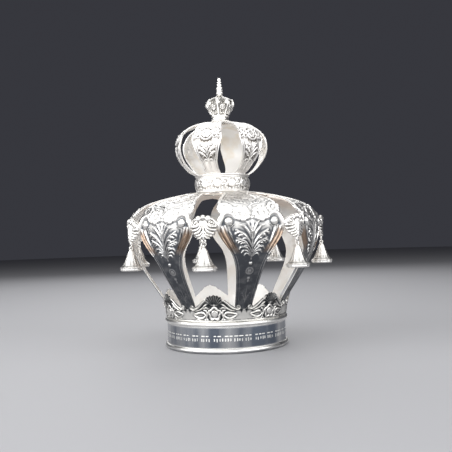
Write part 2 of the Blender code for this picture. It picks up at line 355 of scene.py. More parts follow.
# %% Punch a rose
def rose(sheet, centre, radius, height, turn=0.0):
    """Five broad petals with rolled rims that overlap, round a bud that coils inward."""
    petal = 0.46 * radius
    for i in range(5):
        angle = turn + i * math.tau / 5
        x, y = centre[0] + 0.56 * radius * math.cos(angle), centre[1] + 0.56 * radius * math.sin(angle)
        near, _, _, off = round_about(sheet, x, y, 0.5 * radius)
        rolled = 0.3 + 0.45 * peak(off / petal, 0.72, 0.22)
        raise_points(sheet, near, petal - off, height * rolled * (off < petal))
    near, _, _, off = round_about(sheet, *centre, 0.6 * radius)
    sheet.lift[near] *= 1 - 0.75 * peak(off / radius, 0.54, 0.07)
    bead(sheet, [centre], radius * 0.5, height * 0.55, foot=height * 0.35)
    ridge(sheet, curl(centre, radius * 0.42, 20, 1.6, 0.15), (1.1, 0.7), 0.8, foot=height * 0.6)


# %% [markdown]
# ## The acanthus
# An acanthus leaf is a spine with barbs that sweep forward and droop, longest in the middle. Drawing
# each barb by hand would take hundreds of points, so the barbs are worked out from the spine. The
# ornament is nearly all mirrored about the centre line of its piece, so a blow can be struck in
# pairs.


# %% Punch leaves, and strike in pairs
def frond(
    sheet, points, fingers, reach, height, side=1, first=0.12, last=0.86, width=1.2, spine=1.3
):
    """Half an acanthus leaf: a smooth upper ridge, and barbs that sweep forward and droop."""
    line = curve_through(points)
    steps = np.hypot(*np.diff(line, axis=0).T)
    travelled = np.concatenate(([0], np.cumsum(steps))) / steps.sum()
    for i in range(fingers):
        share = first + (last - first) * i / max(fingers - 1, 1)
        root = np.array([np.interp(share, travelled, line[:, k]) for k in (0, 1)])
        ahead = np.array([np.interp(min(share + 0.04, 1), travelled, line[:, k]) for k in (0, 1)])
        forward = (ahead - root) / max(np.hypot(*(ahead - root)), 1e-6)
        aside = side * np.array([forward[1], -forward[0]])
        size = reach * (0.7 + 0.3 * math.sin(math.pi * (i + 0.8) / (fingers + 0.6)))
        middle = root + forward * size * 0.5 + aside * size * 0.26
        outer = root + forward * size * 0.86 + aside * size * 0.62
        tip = root + forward * size * 0.88 + aside * size * 0.98
        barb = (0.6 * width, width, width, 0.7 * width)
        ridge(sheet, [root, middle, outer, tip], barb, height * 0.85)
    ridge(sheet, points, (0.7 * spine, spine, 0.6 * spine), height)


def pair(punch, sheet, points, *more, **named):
    """The same blow on the right of the centre line and, mirrored, on the left."""
    punch(sheet, points, *more, **named)
    if punch is frond:
        named["side"] = -named.get("side", 1)
    punch(sheet, [(-x, y) for x, y in points], *more, **named)


def pairs(punch, sheet, blows):
    """A pair for each row of a table: its points, and what the punch needs."""
    for blow in blows:
        pair(punch, sheet, *blow)


# %% [markdown]
# ## Dirt and direction
# Two things are measured rather than judged by eye. Tarnish stays where the sheet lies lower than
# its surroundings, and a blurred copy of the relief tells where that is. And a bend can turn a mesh
# inside out: the volume of a closed mesh then comes out negative, which is a surer sign than the
# look of the shading. Recalculating the normals would guess the outside from one face instead.


# %% Find the hollows and the outside
def blurred(values, reach):
    """A lattice smoothed over a window of reach steps each way."""
    window = 2 * reach + 1
    for axis in (0, 1):
        padded = np.apply_along_axis(lambda row: np.pad(row, reach, mode="edge"), axis, values)
        total = np.cumsum(padded, axis=axis)
        zero = np.zeros_like(np.take(total, [0], axis=axis))
        total = np.concatenate((zero, total), axis=axis)
        count = values.shape[axis]
        high = np.take(total, range(window, window + count), axis=axis)
        values = (high - np.take(total, range(count), axis=axis)) / window
    return values


def faces_out(piece):
    """Turns a closed piece's faces outward where they point in, which a negative volume tells."""
    mesh = piece.data
    mesh.calc_loop_triangles()
    corners = np.empty(len(mesh.loop_triangles) * 3, int)
    mesh.loop_triangles.foreach_get("vertices", corners)
    a, b, c = points_of(piece)[corners.reshape(-1, 3)].transpose(1, 0, 2)
    if np.einsum("ij,ij->i", a, np.cross(b, c)).sum() < 0:
        edit(piece, bpy.ops.mesh.flip_normals)


# %% [markdown]
# ## Bending a blank
# When the relief is done the smith bends the blank round a stake. Here a carry function gives each
# flat point its place on the bent surface. The same step notes on every point how dark it is, from
# tarnish and from painted shade and painted dark reflection, how much painted warm light it has,
# how matted it is and whether it is on the inner side, as attributes that the materials read. A
# painted image would do for that too, but attributes need no unwrapping and follow the relief
# exactly.


# %% Bend a blank
def bend(name, sheet, wall, carry, ring=False, kept=None):
    """Cuts a worked sheet's blank, carries it to its bent shape, and notes finish and painted shade.
    """
    columns, rows, fineness = sheet.cells
    blank = flat_blank(name, columns, rows, fineness, ring, kept)
    flat = points_of(blank)
    front = flat[:, 2] > -0.5
    column = np.rint((flat[:, 0] + 0.5) * columns * fineness).astype(int)
    row = np.rint((flat[:, 1] + 0.5) * rows * fineness).astype(int)
    at = (row, column)
    hollows = blurred(sheet.lift, 4) - sheet.lift
    ground = ramp(hollows, 0, 0.6) * sheet.age
    lift = np.where(front, sheet.form[at] + sheet.lift[at], -wall)
    move_points(blank, carry(sheet.x[at], sheet.y[at], lift))
    low = np.clip(1 - sheet.lift / 0.35, 0, 1)
    # Patina in the hollows, the darkened ground, and the veil's painted shade and painted dark
    # reflection
    tarnish = np.clip(ground + sheet.dark * low + sheet.veil, 0, 1)
    finish = {
        "tarnish": np.where(front, tarnish[at], 0),
        "tinge": np.where(front, sheet.tinge[at], sheet.bloom[at]),
        "matted": np.where(front, (sheet.matt * low)[at], 0),
        "inside": np.where(front, 0, 1),
    }
    for note, values in finish.items():
        blank.data.attributes.new(note, "FLOAT", "POINT")
        blank.data.attributes[note].data.foreach_set("value", values.astype(np.float32))
    if ring:
        edit(blank, bpy.ops.mesh.remove_doubles, threshold=0.01 * MM)
    faces_out(blank)
    shade(blank)
    print(name, len(blank.data.polygons), "faces")
    return blank


# %% [markdown]
# ## The outlines of the arms
# An arm is a sheet that follows a profile: out from the foot, over the belly and in again over the
# shoulder. The profile is the solid's own, drawn as Bezier stretches, because four handles describe
# a hammered curve better than a row of points. The widths are half widths at heights on the way up,
# and past the widest place two neighbours leave a slot between them that closes in an arch.

# %% Outlines
ARM_PROFILE = (  # radius, height
    ((85.2, 34.0), (85.2, 51.0), (86.6, 60.0), (91.4, 68.5)),
    ((91.4, 68.5), (106.4, 94.5), (138.4, 130.0), (138.4, 172.5)),
    ((138.4, 172.5), (138.4, 184.8), (131.8, 196.0), (118.6, 202.6)),
    ((118.6, 202.6), (102.0, 211.0), (56.0, 221.0), (36.5, 221.4)),
)
ARM_HALF_WIDTHS = (  # height, half of the width
    (34, 11.0), (62, 11.8), (80, 13.6), (98, 15.9), (116, 19.0), (127, 22.4), (136, 26.6),
    (142, 31.0), (151, 38.2), (156, 41.6), (161, 44.4), (166, 46.2), (171, 46.8), (177, 46.6),
    (181, 43.6), (185, 40.2), (190, 43.6), (195, 44.0), (200, 43.0),
)
UPPER_PROFILE = (
    ((39.6, 248.2), (47.4, 251.4), (67.2, 271.0), (67.2, 288.0)),
    ((67.2, 288.0), (67.2, 318.5), (38.0, 323.0), (9.0, 326.9)),
)
UPPER_HALF_WIDTHS = (
    (248, 10.8), (256, 11.0), (263, 11.9), (272, 15.0), (281, 18.6), (290, 21.0), (296, 22.4),
    (306, 23.6),
)
# The slot between two arms: half of its width, the radius at which it closes, the length of its
# closing arch, and the two powers that make the arch round or pointed
ARM_SLOT = (14.4, 62.0, 14.4, 2, 0.5)
UPPER_SLOT = (12.4, 34.0, 30.0, 1, 0.6)
JOIN_GAP = 0.2  # half of the seam where neighbouring arms meet under the neck

print("an arm has", len(ARM_HALF_WIDTHS), "widths, an upper arm", len(UPPER_HALF_WIDTHS))

# %% [markdown]
# ## Walking along a profile
# A sheet is measured along its surface and not by height, since near the neck it lies almost level.
# So a profile is walked from the foot: each place along it has a radius, a height and the direction
# in which the sheet faces, and those three are all that a carry function needs.


# %% Walk along a profile
def bezier_points(stretches, steps=80):
    """Points along a chain of Bezier stretches."""
    t = np.linspace(0, 1, steps, endpoint=False)[:, None]
    runs = []
    for a, b, c, d in np.array(stretches):
        runs.append(a * (1 - t) ** 3 + 3 * b * t * (1 - t) ** 2 + 3 * c * t**2 * (1 - t) + d * t**3)
    return np.vstack(runs + [np.array(stretches[-1][-1])[None]])


class Profile:
    """A line of (radius, height) points, foot first, measured along its length in millimetres."""

    def __init__(self, points):
        self.points = np.array(points)
        steps = np.hypot(*np.diff(self.points, axis=0).T)
        self.travelled = np.concatenate(([0], np.cumsum(steps)))
        self.length = self.travelled[-1]
        slope = np.gradient(self.points, self.travelled, axis=0)
        slope /= np.hypot(*slope.T)[:, None]
        self.facing = np.stack((slope[:, 1], -slope[:, 0]), -1)

    def read(self, along):
        """Radius, height and outward facing at places along the profile."""
        columns = (*self.points.T, *self.facing.T)
        return [np.interp(along, self.travelled, column) for column in columns]

    def carry_round(self, angle, along, lift):
        """Carries points at angles round the axis to this profile."""
        radius, height, out, up = self.read(along)
        return place_around(radius + out * lift, angle, height + up * lift)

    def carry(self, across, along, lift):
        """Carries points at distances from the centre line to this profile, facing -Y."""
        return self.carry_round(across / np.maximum(self.read(along)[0], 1), along, lift)


# %% [markdown]
# ## The widths of the arms
# On the way up an arm is as wide as its table says. Over the shoulder it fills its share of the
# circle apart from the slot, which ends in an arch. The two rules meet in a corner, and a running
# mean over seven places rounds it off, as a file would.


# %% Measure the arms
SMOOTHED = 7


def arm_half_width(profile, half_widths, slot, count):
    """Half of an arm's width all along its profile, smoothed so that its edge has no corners."""
    radius, height = profile.points.T
    rising = graded(height, half_widths)
    widest_opening, end, arch, bend_power, power = slot
    into = ramp(radius, end, end + arch)
    opening = widest_opening * (1 - (1 - into) ** bend_power) ** power
    sector = math.pi / count * radius - np.maximum(opening, JOIN_GAP)
    over = np.arange(len(radius)) > np.argmax(radius)
    half = np.where(over, np.minimum(sector, rising), rising)
    even = np.linspace(0, profile.length, 400)
    smooth = np.interp(even, profile.travelled, half)
    padded = np.pad(smooth, SMOOTHED // 2, mode="edge")
    smooth = np.convolve(padded, np.ones(SMOOTHED) / SMOOTHED, "valid")
    return lambda along: np.interp(along, even, smooth)


arm_profile = Profile(bezier_points(ARM_PROFILE))
arm_half = arm_half_width(arm_profile, ARM_HALF_WIDTHS, ARM_SLOT, ARM_COUNT)
upper_profile = Profile(bezier_points(UPPER_PROFILE))
upper_half = arm_half_width(upper_profile, UPPER_HALF_WIDTHS, UPPER_SLOT, UPPER_ARM_COUNT)
print("an arm is", round(arm_profile.length), "mm long, an upper arm", round(upper_profile.length))

# %% [markdown]
# ## A lower arm: its stem
# The foot of an arm is a smooth hollow stem with a drop of beads on its centre line, a little leaf
# at the foot and thin lines beside both edges. One arm is chased and copied, since the smith works
# all seven to one pattern. A punch is struck where it is needed, so it matters little which comes
# first. The rows of the blank are closest on the belly, where the leaves need them.

# %% Chase the stem
ARM_CELLS = (26, 78, 4)  # columns and rows of the back, and how much finer the front is
ARM_ROWS_AT = ((0, 0), (0.1, 38), (0.28, 94), (0.78, 192), (1, arm_profile.length))

sheet = Sheet(*ARM_CELLS)
sheet.y = graded(sheet.y, ARM_ROWS_AT)
sheet.x = sheet.x * arm_half(sheet.y)
for along, radius, rise in ((98, 2.7, 2.2), (75.5, 2.2, 1.6), (70.8, 1.5, 1.2)):
    bead(sheet, [(0, along)], radius, rise)
bead(sheet, [(0, 86.8)], 3.3, 1.6, ring=1.3)
ridge(sheet, [(0, 104), (0, 107)], (0.8, 0.6), 1.2)
pair(frond, sheet, [(0.4, 38), (2.6, 46), (5.4, 52)], 3, 2.6, 0.6, width=0.9, spine=0.8)
ridge(sheet, [(0, 36), (0, 48), (0, 64)], (1.3, 1.0, 0.4), 0.6)
for inset, rise in ((1.2, 0.7), (4.2, 0.4)):
    places = np.linspace(30, 110, 10)
    pair(ridge, sheet, [(arm_half(s) - inset, s) for s in places], (0.8, 0.8), rise)
print("the stem's relief is", sheet.lift.max().round(1), "mm high")

# %% [markdown]
# ## A lower arm: its spray
# On the belly two pairs of curled leaves and two pairs of thin shoots grow from one root. Each leaf
# is a frond, which is a ridge with barbs on one side, and the mirrored blow makes its partner.

# %% Chase the spray
arch = [(0.4, 109), (3.2, 116), (8.4, 121.2), (14.4, 121.8), (17, 118.4)]
pairs(ridge, sheet, (
    (arch, (0.9, 1.6, 1.9, 1.8, 1.1), 2.1),
    ([(1.6, 111), (6.0, 116), (11, 116.8), (13.6, 113.8)], (0.8, 1.7, 1.8, 1.1), 1.9),
    ([(1.2, 108.6), (4.8, 112.2), (8.2, 112.2), (9.8, 109.6)], (0.8, 1.5, 1.4, 0.9), 1.6),
    ([(5.6, 128), (11.4, 134), (17.4, 139.2)], (2.0, 3.6, 2.6), 1.2),
    ([(1.4, 132), (5.0, 141), (11.4, 148.4), (16, 150)], (0.9, 2.0, 1.6, 0.8), 1.7),
    ([(0.8, 136), (2.8, 145), (7.0, 153), (11, 156.4)], (0.8, 1.3, 1.3, 0.8), 1.4),
))
feather = [(0.6, 115), (4.2, 122.2), (10.2, 129), (20.2, 133.6)]
pair(frond, sheet, feather, 4, 6.6, 2.2, first=0.24, last=0.8, width=1.9, spine=2.0)
plume = [(0.6, 122), (4.6, 129.6), (10.8, 137.4), (21.2, 143.8)]
pair(frond, sheet, plume, 3, 6.0, 2.4, first=0.34, last=0.8, width=2.1, spine=2.6)
ridge(sheet, [(0, 107.6), (0, 124), (0, 142)], (0.9, 1.5, 1.2), 2.1)
ridge(sheet, [(0, 138), (0, 148), (0, 157)], (0.9, 2.2, 0.8), 1.5, crease=0.3)
print("with the spray it is", sheet.lift.max().round(1), "mm high")

# %% [markdown]
# ## A lower arm: its ribs
# Down both sides of the spray run two rope-twisted ribs between bright lines, which fade out where
# the stem begins. A painted warm straw reflection lies on the ribs nearest the edge, and painted
# shade darkens a line over the inner rope and all the ribbed sheet within 9 mm of the edge. The
# lanes are given by their distance from the arm's edge, so that they follow it as it swells.

# %% Chase the ribs
RIB_LANES = (  # half widths, height, rope pitch, then (distance from the edge, place) down the side
    ((1.0, 1.5, 1.4, 0.6), 2.2, 0, ((14.4, 151), (15.0, 142), (13.8, 132), (10.4, 121))),
    ((2.0, 2.6, 2.2, 0.7), 1.1, 1.8, ((11.0, 149), (11.5, 140), (10.6, 131), (8.0, 118))),
    ((2.6, 3.1, 2.7, 0.9), 2.1, 1.8, ((6.6, 148), (6.8, 139), (6.4, 130), (4.6, 113))),
    ((1.2, 1.6, 1.5, 0.6), 1.9, 0, ((2.3, 147), (2.3, 138), (2.2, 128), (1.6, 111))),
)
for halves, rise, pitch, stations in RIB_LANES:
    lane = [(arm_half(s) - inset, s) for inset, s in stations]
    pair(ridge, sheet, lane, halves, rise, twist=pitch)
inset = arm_half(sheet.y) - abs(sheet.x)
ribbed = graded(sheet.y, ((112, 0), (124, 1), (140, 1), (150, 0)))
# Painted warm reflection on the ribs and, faintly, on top of the dome; painted shade over the outer
# ribs
sheet.tinge = 0.3 * ribbed * ramp(inset, 13, 10) + 0.06 * ramp(sheet.y, 190, 202)
sheet.veil = 0.65 * ribbed * peak(inset, 11, 2.4) + 0.58 * ribbed * (inset < 9)
print("the ribs warm", round(100 * (sheet.tinge > 0.1).mean()), "% of the arm's front")

# %% [markdown]
# ## A lower arm: volutes and flowers
# In both upper corners a broad band coils over a ball, and a painted shadow, a dark crescent in the
# hollow between them, makes the ball stand out. On the shoulder lie two big flowers with a smaller
# one on each side, and buds and leaves fill the gaps, because a chaser leaves no bare ground.

# %% Chase the volutes and the flowers
BALL = (31.0, 154.8)
BALL_RADIUS = 5.6

band = [(43.2, 142), (43.4, 150), (41.4, 158), (37.2, 164), (31.4, 166), (25.2, 163.6), (22.2, 158)]
pair(ridge, sheet, band, (2.0, 4.0, 4.9, 4.6, 3.8, 2.8, 1.2), 3.4)
pair(bead, sheet, [BALL], BALL_RADIUS, 4.2)
off_ball = np.hypot(abs(sheet.x) - BALL[0], sheet.y - BALL[1])
# A painted shadow: a dark ring round the ball, above and below it
crescent = graded(sheet.y, ((148, 1), (152, 0), (153, 0), (157, 1)))
sheet.veil += 0.75 * crescent * peak(off_ball, BALL_RADIUS + 0.5, 0.8)
pair(ridge, sheet, [(24.2, 151.4), (29.4, 147.8), (35.4, 150)], (0.6, 1.1, 0.6), 1.4)

pair(flower, sheet, [(33.0, 174.6)], 10.6, 7, 1.8, turn=0.1)
pair(flower, sheet, [(12.8, 166)], 12.2, 8, 2.2, turn=0.3)
bead(sheet, [(0, 159.8)], 2.6, 2.2)
pair(bead, sheet, [(0.0, 176.4), (22.4, 174)], 2.2, 1.8)
pair(frond, sheet, [(1.6, 180), (8, 184), (17, 186)], 4, 5.0, 1.1, side=-1, width=1.7)
pair(frond, sheet, [(24, 187), (31, 191), (37, 198)], 3, 5.0, 1.0, side=-1, width=1.7)
print("the highest ball rises", sheet.lift.max().round(1), "mm")

# %% [markdown]
# ## A lower arm: its dome
# Over the shoulder the sheet turns in to the neck. A smooth raised border follows its edge, and low
# scrolls on a matted ground fade towards the top, where fingers would wear them away.

# %% Chase the dome
for inset, half, rise in ((2.6, 2.4, 1.2), (6.6, 0.7, 0.35)):
    border = [(max(arm_half(s) - inset, 1.2), s) for s in np.linspace(184, 268, 16)]
    pair(ridge, sheet, border, (half, half), rise)
pair(ridge, sheet, [(4, 192), (13, 198), (16, 209), (9, 215)], (0.8, 1.7, 1.4, 0.6), 1.0)
pair(ridge, sheet, curl((9.5, 208), 5.4, -40, 1.2), (1.3, 0.7), 0.9)
pair(frond, sheet, [(3, 216), (10, 222), (13, 232), (9, 241)], 4, 5.4, 0.9, width=1.8)
pair(frond, sheet, [(16, 200), (21, 207), (22.5, 216)], 3, 4.8, 0.9, width=1.8)
pair(frond, sheet, [(2, 244), (8, 250), (12, 259)], 3, 4.6, 0.8, side=-1, width=1.6)
pair(bead, sheet, [(4.6, 196), (22, 196), (6, 222), (3, 236)], 1.6, 0.8)
flower(sheet, [(0, 202)], 5.2, 6, 0.9)
flower(sheet, [(0, 229)], 4.4, 6, 0.7)
ridge(sheet, [(0, 234), (0, 250), (0, 262)], (1.4, 1.0, 0.5), 0.5)
print("ornament covers", round(100 * (sheet.edge > 0).mean()), "% of the arm's front")

# %% [markdown]
# ## A lower arm: darkened
# Liver of sulphur turns silver black, and the smith rubs it off wherever a cloth reaches, so the
# ground holds oxide. Over it a painted dark reflection grows down the arm: the hollow stem is dark,
# the ground between the leaves is grey, and the shoulder is bright. Each is given as amounts at
# places along the arm, darker towards the foot and a little again at the top.

# %% Darken the arm
# The ground's darkening, oxide and painted dark reflection together, then a painted dark reflection
# over everything
STEM_DARK = ((108, 1.2), (118, 1.0), (127, 0.72), (137, 0.44), (148, 0.24), (160, 0.12), (184, 0.2))
STEM_VEIL = (
    (50, 0.85), (90, 0.75), (104, 0.62), (116, 0.6), (126, 0.55), (137, 0.4), (148, 0.12),
    (182, 0.05), (190, 0.2),
)
share = np.clip(abs(sheet.x) / arm_half(sheet.y), 0, 1)
sheet.form = ramp(sheet.y, 34, 54) * (0.9 * share**2 - 0.5)
sheet.dark = graded(sheet.y, STEM_DARK)
sheet.veil += graded(sheet.y, STEM_VEIL)
sheet.age = graded(sheet.y, ((150, 1), (162, 0.45), (174, 0.3), (182, 0.9)))
sheet.matt = ramp(sheet.y, 104, 118) * ramp(sheet.y, 176, 168) + 0.3 * ramp(sheet.y, 184, 194)
# Painted warm shade on the inner side, where the dome closes over it
sheet.bloom = 0.3 * ramp(sheet.y, 176, 196)
sheet.lift *= ramp(sheet.y, 28, 40)  # the foot is plain where the crest hides it
print("the arm's tarnish runs from", sheet.veil.min().round(2), "to", sheet.veil.max().round(2))

# %% [markdown]
# ## Seven lower arms
# Now the arm is bent and turned half a step, so that a slot faces the front with a bell in it. The
# others are copies, each with its own mesh. Array and mirror modifiers could copy as well, but they
# would leave one object where the real crown has seven pieces.


# %% Bend and copy the arms
def all_round(piece, count):
    """A piece whose name ends in 1, and its copies with their own meshes, evenly round the axis."""
    pieces = [piece]
    for i in range(1, count):
        twin = piece.copy()
        twin.data = piece.data.copy()
        twin.name = f"{piece.name[:-1]}{i + 1}"
        bpy.context.scene.collection.objects.link(twin)
        twin.data.transform(Matrix.Rotation(i * math.tau / count, 4, "Z"))
        pieces.append(twin)
    return pieces


arm = bend("arm_1", sheet, SHEET, arm_profile.carry)
arm.data.transform(Matrix.Rotation(ARM_STEP / 2, 4, "Z"))
arms = all_round(arm, ARM_COUNT)

# %% [markdown]
# ## The upper arms
# The six upper arms repeat the lower ones at half the size: a plain foot between two lines, a spray
# of fronds, a swag with a row of flowers over it and a smooth border up to the top. They are chased
# the same way, and the darkening is fainter: a little darkened ground and a few painted shadows.

# %% Chase an upper arm
UPPER_CELLS = (18, 37, 4)

sheet = Sheet(*UPPER_CELLS)
sheet.y = sheet.y * upper_profile.length
sheet.x = sheet.x * upper_half(sheet.y)
for inset, rise in ((1.2, 0.8), (3.6, 0.5)):
    places = np.linspace(3, 35, 8)
    pair(ridge, sheet, [(upper_half(s) - inset, s) for s in places], (0.7, 0.7), rise)
ridge(sheet, [(0, 4), (0, 15), (0, 26)], (0.7, 1.0, 0.7), 0.5)
ridge(sheet, [(0, 25), (0, 35), (0, 52)], (0.7, 1.1, 0.7), 1.1)
for up, out, half in ((0, 1.0, 1.0), (6.4, 0.92, 1.1), (12.6, 0.74, 1.2)):
    leaf = [(0.4, 26 + up), (3.0, 31.6 + up), (6.6 * out, 36 + up), (11.2 * out, 38.6 + up)]
    pair(frond, sheet, leaf, 4, 3.4, 1.2, first=0.3, last=0.86, width=half, spine=half)
side = [(upper_half(s) - inset, s) for s, inset in ((53, 3.6), (45, 3.8), (38, 3.4), (27, 2.6))]
edge = [(upper_half(s) - 0.9, s) for s in (25, 33, 39, 45, 51, 57, 63)]
pairs(ridge, sheet, (
    ([(0.6, 43), (2.2, 48), (5.4, 52.6)], (0.6, 1.3, 0.7), 1.1),
    ([(0.6, 24.4), (3.2, 26.6), (5.8, 25.6), (6.2, 23.2)], (0.7, 1.2, 1.0, 0.7), 1.1),
    (side, (1.9, 2.1, 1.6, 0.6), 1.4),
    (edge, (1.0, 1.5, 1.8), 1.4),
    ([(0, 55.4), (3.8, 56.2), (6.8, 58.8), (8.6, 61.6)], (1.9, 1.9, 1.6), 1.9),
    ([(8.4, 61), (10.6, 58.6), (13.2, 58.2), (15.4, 60.8)], (1.4, 1.6, 1.4), 1.7),
    ([(15.2, 60.4), (17.4, 58.6), (20.4, 58.8)], (1.3, 1.5, 1.3), 1.6),
    (curl((4.6, 89), 3.2, -60, 1.2), (1.2, 0.6), 0.5),
))
bead(sheet, [(0, 22.6)], 1.4, 1.0)
flower(sheet, [(0, 65)], 7.6, 8, 1.7)
pair(flower, sheet, [(12.8, 67)], 6.4, 7, 1.6, turn=0.4)
pair(flower, sheet, [(6.8, 76)], 4.6, 6, 1.0, turn=0.2)
pair(bead, sheet, [(18.8, 62.6), (18.2, 74)], 1.5, 1.0)
for inset, half, rise in ((1.9, 1.9, 0.9), (4.6, 0.7, 0.3)):
    border = [(max(upper_half(s) - inset, 0.6), s) for s in np.linspace(73, 121, 12)]
    pair(ridge, sheet, border, (half, half, half * 0.5), rise)
ridge(sheet, [(0, 79), (0, 93), (0, 111)], (1.4, 1.1, 0.6), 0.5)
print("the relief of an upper arm is", sheet.lift.max().round(1), "mm high")

# %% [markdown]
# ## Six upper arms
# Only the ground of the spray is darkened here, with a painted shadow under the swag and a thin
# painted shadow line inside the ribs.
# The upper crown is soldered on a little turned, so its arms are turned before they are copied.

# %% Darken and bend the upper arms
UPPER_TURN = math.radians(-8)

share = np.clip(abs(sheet.x) / upper_half(sheet.y), 0, 1)
sheet.form = ramp(sheet.y, 3, 13) * (0.5 * share**2 - 0.3)
spray_ground = graded(sheet.y, ((22, 0), (27, 1), (37, 0.7), (47, 0))) * (share < 0.84)
# A painted shadow under the swag
swag_ground = graded(sheet.y, ((51, 0), (54, 1), (57, 1), (59, 0))) * (abs(sheet.x) < 9)
sheet.dark = 0.5 * spray_ground + 0.5 * swag_ground
# A thin painted shadow line inside the ribs, and a little darkening round the spray's middle
beside_rib = peak(share, 0.74, 0.07) * graded(sheet.y, ((25, 0), (29, 1), (45, 1), (53, 0)))
sheet.veil = 0.3 * beside_rib + 0.12 * peak(sheet.y, 32, 4.5) * (share < 0.85)
sheet.matt = 0.6 * ramp(sheet.y, 25, 31) * ramp(sheet.y, 79, 71)
sheet.age *= 0.95
sheet.lift *= ramp(sheet.y, 4, 8) * ramp(sheet.y, upper_profile.length, upper_profile.length - 8)
upper_arm = bend("upper_arm_1", sheet, SHEET, upper_profile.carry)
upper_arm.data.transform(Matrix.Rotation(UPPER_TURN, 4, "Z"))
upper_arms = all_round(upper_arm, UPPER_ARM_COUNT)

# %% [markdown]
# ## The crest
# The crest is one strip round the crown: under each bell a rose with a shell over it, before each
# arm a low matted field between two small volutes. Its scalloped top is sawn on the real one. Here
# the rows of the blank crowd together under the outline instead, which leaves a clean edge. One
# seventh of the strip is described, and the strip reads it seven times.

# %% Shape the crest
DRUM_TOP = levels("base_drum")[1]
BAND_RADIUS = 87.4
CREST_FOOT, CREST_PEAK = levels("crest")
CREST_WALL = 0.9
CREST_LOW = 60.5  # top edge in front of an arm
CREST_FLARE, CREST_FLARE_POWER = 7.4, 1.4  # how far it leans out, and how late
CREST_SHAPE = 2.6  # a higher power makes narrower peaks
CREST_REACH = 40.4  # half of a seventh of the strip
CREST_CELLS = (26 * ARM_COUNT, 13, 4)
EAR_PLACE, EAR_HEIGHT, EAR_RADIUS = 32.0, 62.4, 3.9  # a volute


def from_middle(angle, count):
    """How far an angle is from the middle of its repeat, as a share of the repeat."""
    return (angle / (math.tau / count) + 0.5) % 1 - 0.5


def crest_edge(across):
    """Height of the top edge at a place across a seventh, with an ear round each volute."""
    arch = np.cos(abs(across) / CREST_REACH * math.pi / 2) ** CREST_SHAPE
    wave = CREST_LOW + (CREST_PEAK - CREST_LOW) * arch
    aside = np.clip(EAR_RADIUS**2 - (abs(across) - EAR_PLACE) ** 2, 0, None)
    ear = np.where(aside > 0, EAR_HEIGHT + np.sqrt(aside), 0)
    scallop = 0.8 * np.cos(across * math.tau / 4.6) * (abs(across) < 10.4)
    shoulder = 1.9 * peak(abs(across), 11.6, 1.5)
    return np.maximum(wave - 0.8, ear) + scallop - shoulder


def carry_crest(angle, height, lift):
    rise = np.clip((height - DRUM_TOP) / (CREST_PEAK - DRUM_TOP), 0, None)
    return place_around(BAND_RADIUS + CREST_FLARE * rise**CREST_FLARE_POWER + lift, angle, height)


sheet = Sheet(*CREST_CELLS)
crest_angle = sheet.x * math.pi
sheet.x = from_middle(crest_angle, ARM_COUNT) * 2 * CREST_REACH
sheet.y = CREST_FOOT + sheet.y * (crest_edge(sheet.x) - CREST_FOOT)
print("the crest's edge runs from", sheet.y.max(0).min().round(1), "to", sheet.y.max().round(1), "mm")

# %% [markdown]
# ## The crest's ornament
# The rose is struck first, because its petals are parted by blows that also flatten whatever is
# there already. Then come the shell, the bands that swoop from it to the volutes, the leaves beside
# the rose, and the beads. The shell's ribs fan out from one point, so a loop places them.

# %% Chase the crest
rose(sheet, (0, 54.0), 9.6, 2.0, turn=math.pi / 2)
for i in range(-4, 5):  # the shell's nine ribs
    lean = i * 0.27
    tip = (14.5 * math.sin(lean) * 0.9, 65 + 14.6 * math.cos(lean))
    middle = (tip[0] * 0.6, 64 + (tip[1] - 64) * 0.62)
    ridge(sheet, [(0.3 * i, 64.4), middle, tip], (0.6, 1.5, 1.8), 2.0)
bead(sheet, [(0, 65.6)], 2.4, 2.2)
pairs(ridge, sheet, (
    ([(10, 73.6), (15.2, 69.8), (20.4, 65), (25.4, 61.4), (30.4, 59.4)], (1.5, 2.0, 1.8, 1.5), 2.2),
    (curl((EAR_PLACE, EAR_HEIGHT), 3.0, -100, 1.35, 0.2), (1.5, 0.9), 2.2),
    ([(7, 68), (12, 66), (17, 61.6), (23, 58.6), (28, 57.8)], (1.0, 1.7, 1.5, 0.8), 1.9),
    ([(12.8, 52.4), (16.6, 55.2), (23, 55), (31, 52.4)], (1.0, 1.8, 1.7, 0.6), 1.3),
    ([(12.8, 51.8), (16.6, 48.6), (23, 48), (30.4, 51.6)], (1.0, 1.8, 1.7, 0.6), 1.3),
    ([(15.6, 45.8), (21, 45.4), (27, 46.6)], (0.7, 1.2, 0.6), 1.2),
    ([(9.8, 45.6), (12.2, 48.6), (10.6, 53), (11.6, 57.6), (14.6, 59)], (0.9, 1.4, 1.4, 0.8), 1.3),
    ([(8.6, 60.6), (11.4, 62.4), (15, 61)], (0.7, 1.4, 0.7), 1.2),
))
pair(bead, sheet, [(13.4, 45.8)], 1.5, 1.2)
bead(sheet, [(-40.4, 59.6), (40.4, 59.6)], 1.8, 1.4)
ridge(sheet, [(x, 43.9) for x in np.linspace(-42, 42, 15)], (1.0, 1.0), 0.9)

# The shell and the swooping bands beside it get a painted dark reflection, the darkest part of the
# crown
field = ramp(abs(sheet.x) - 26 - (sheet.y - 44) * 0.5, 0, 4)
shell = ramp(abs(sheet.x), 12.5, 9.5) * ramp(sheet.y, 63, 67)
swoop = ramp(sheet.y, 61, 64)
sheet.matt = 0.35 + 0.65 * field
sheet.dark = 0.16 + 0.9 * np.maximum(shell, 0.7 * swoop) + 0.08 * field
sheet.veil = np.maximum(0.95 * shell, 0.4 * swoop) * ramp(sheet.lift, 2.5, 1.6)
sheet.veil = np.maximum(sheet.veil, 0.1)
sheet.age[:] = 1.2
sheet.x = crest_angle
crest = bend("crest_strip", sheet, CREST_WALL, carry_crest, ring=True)

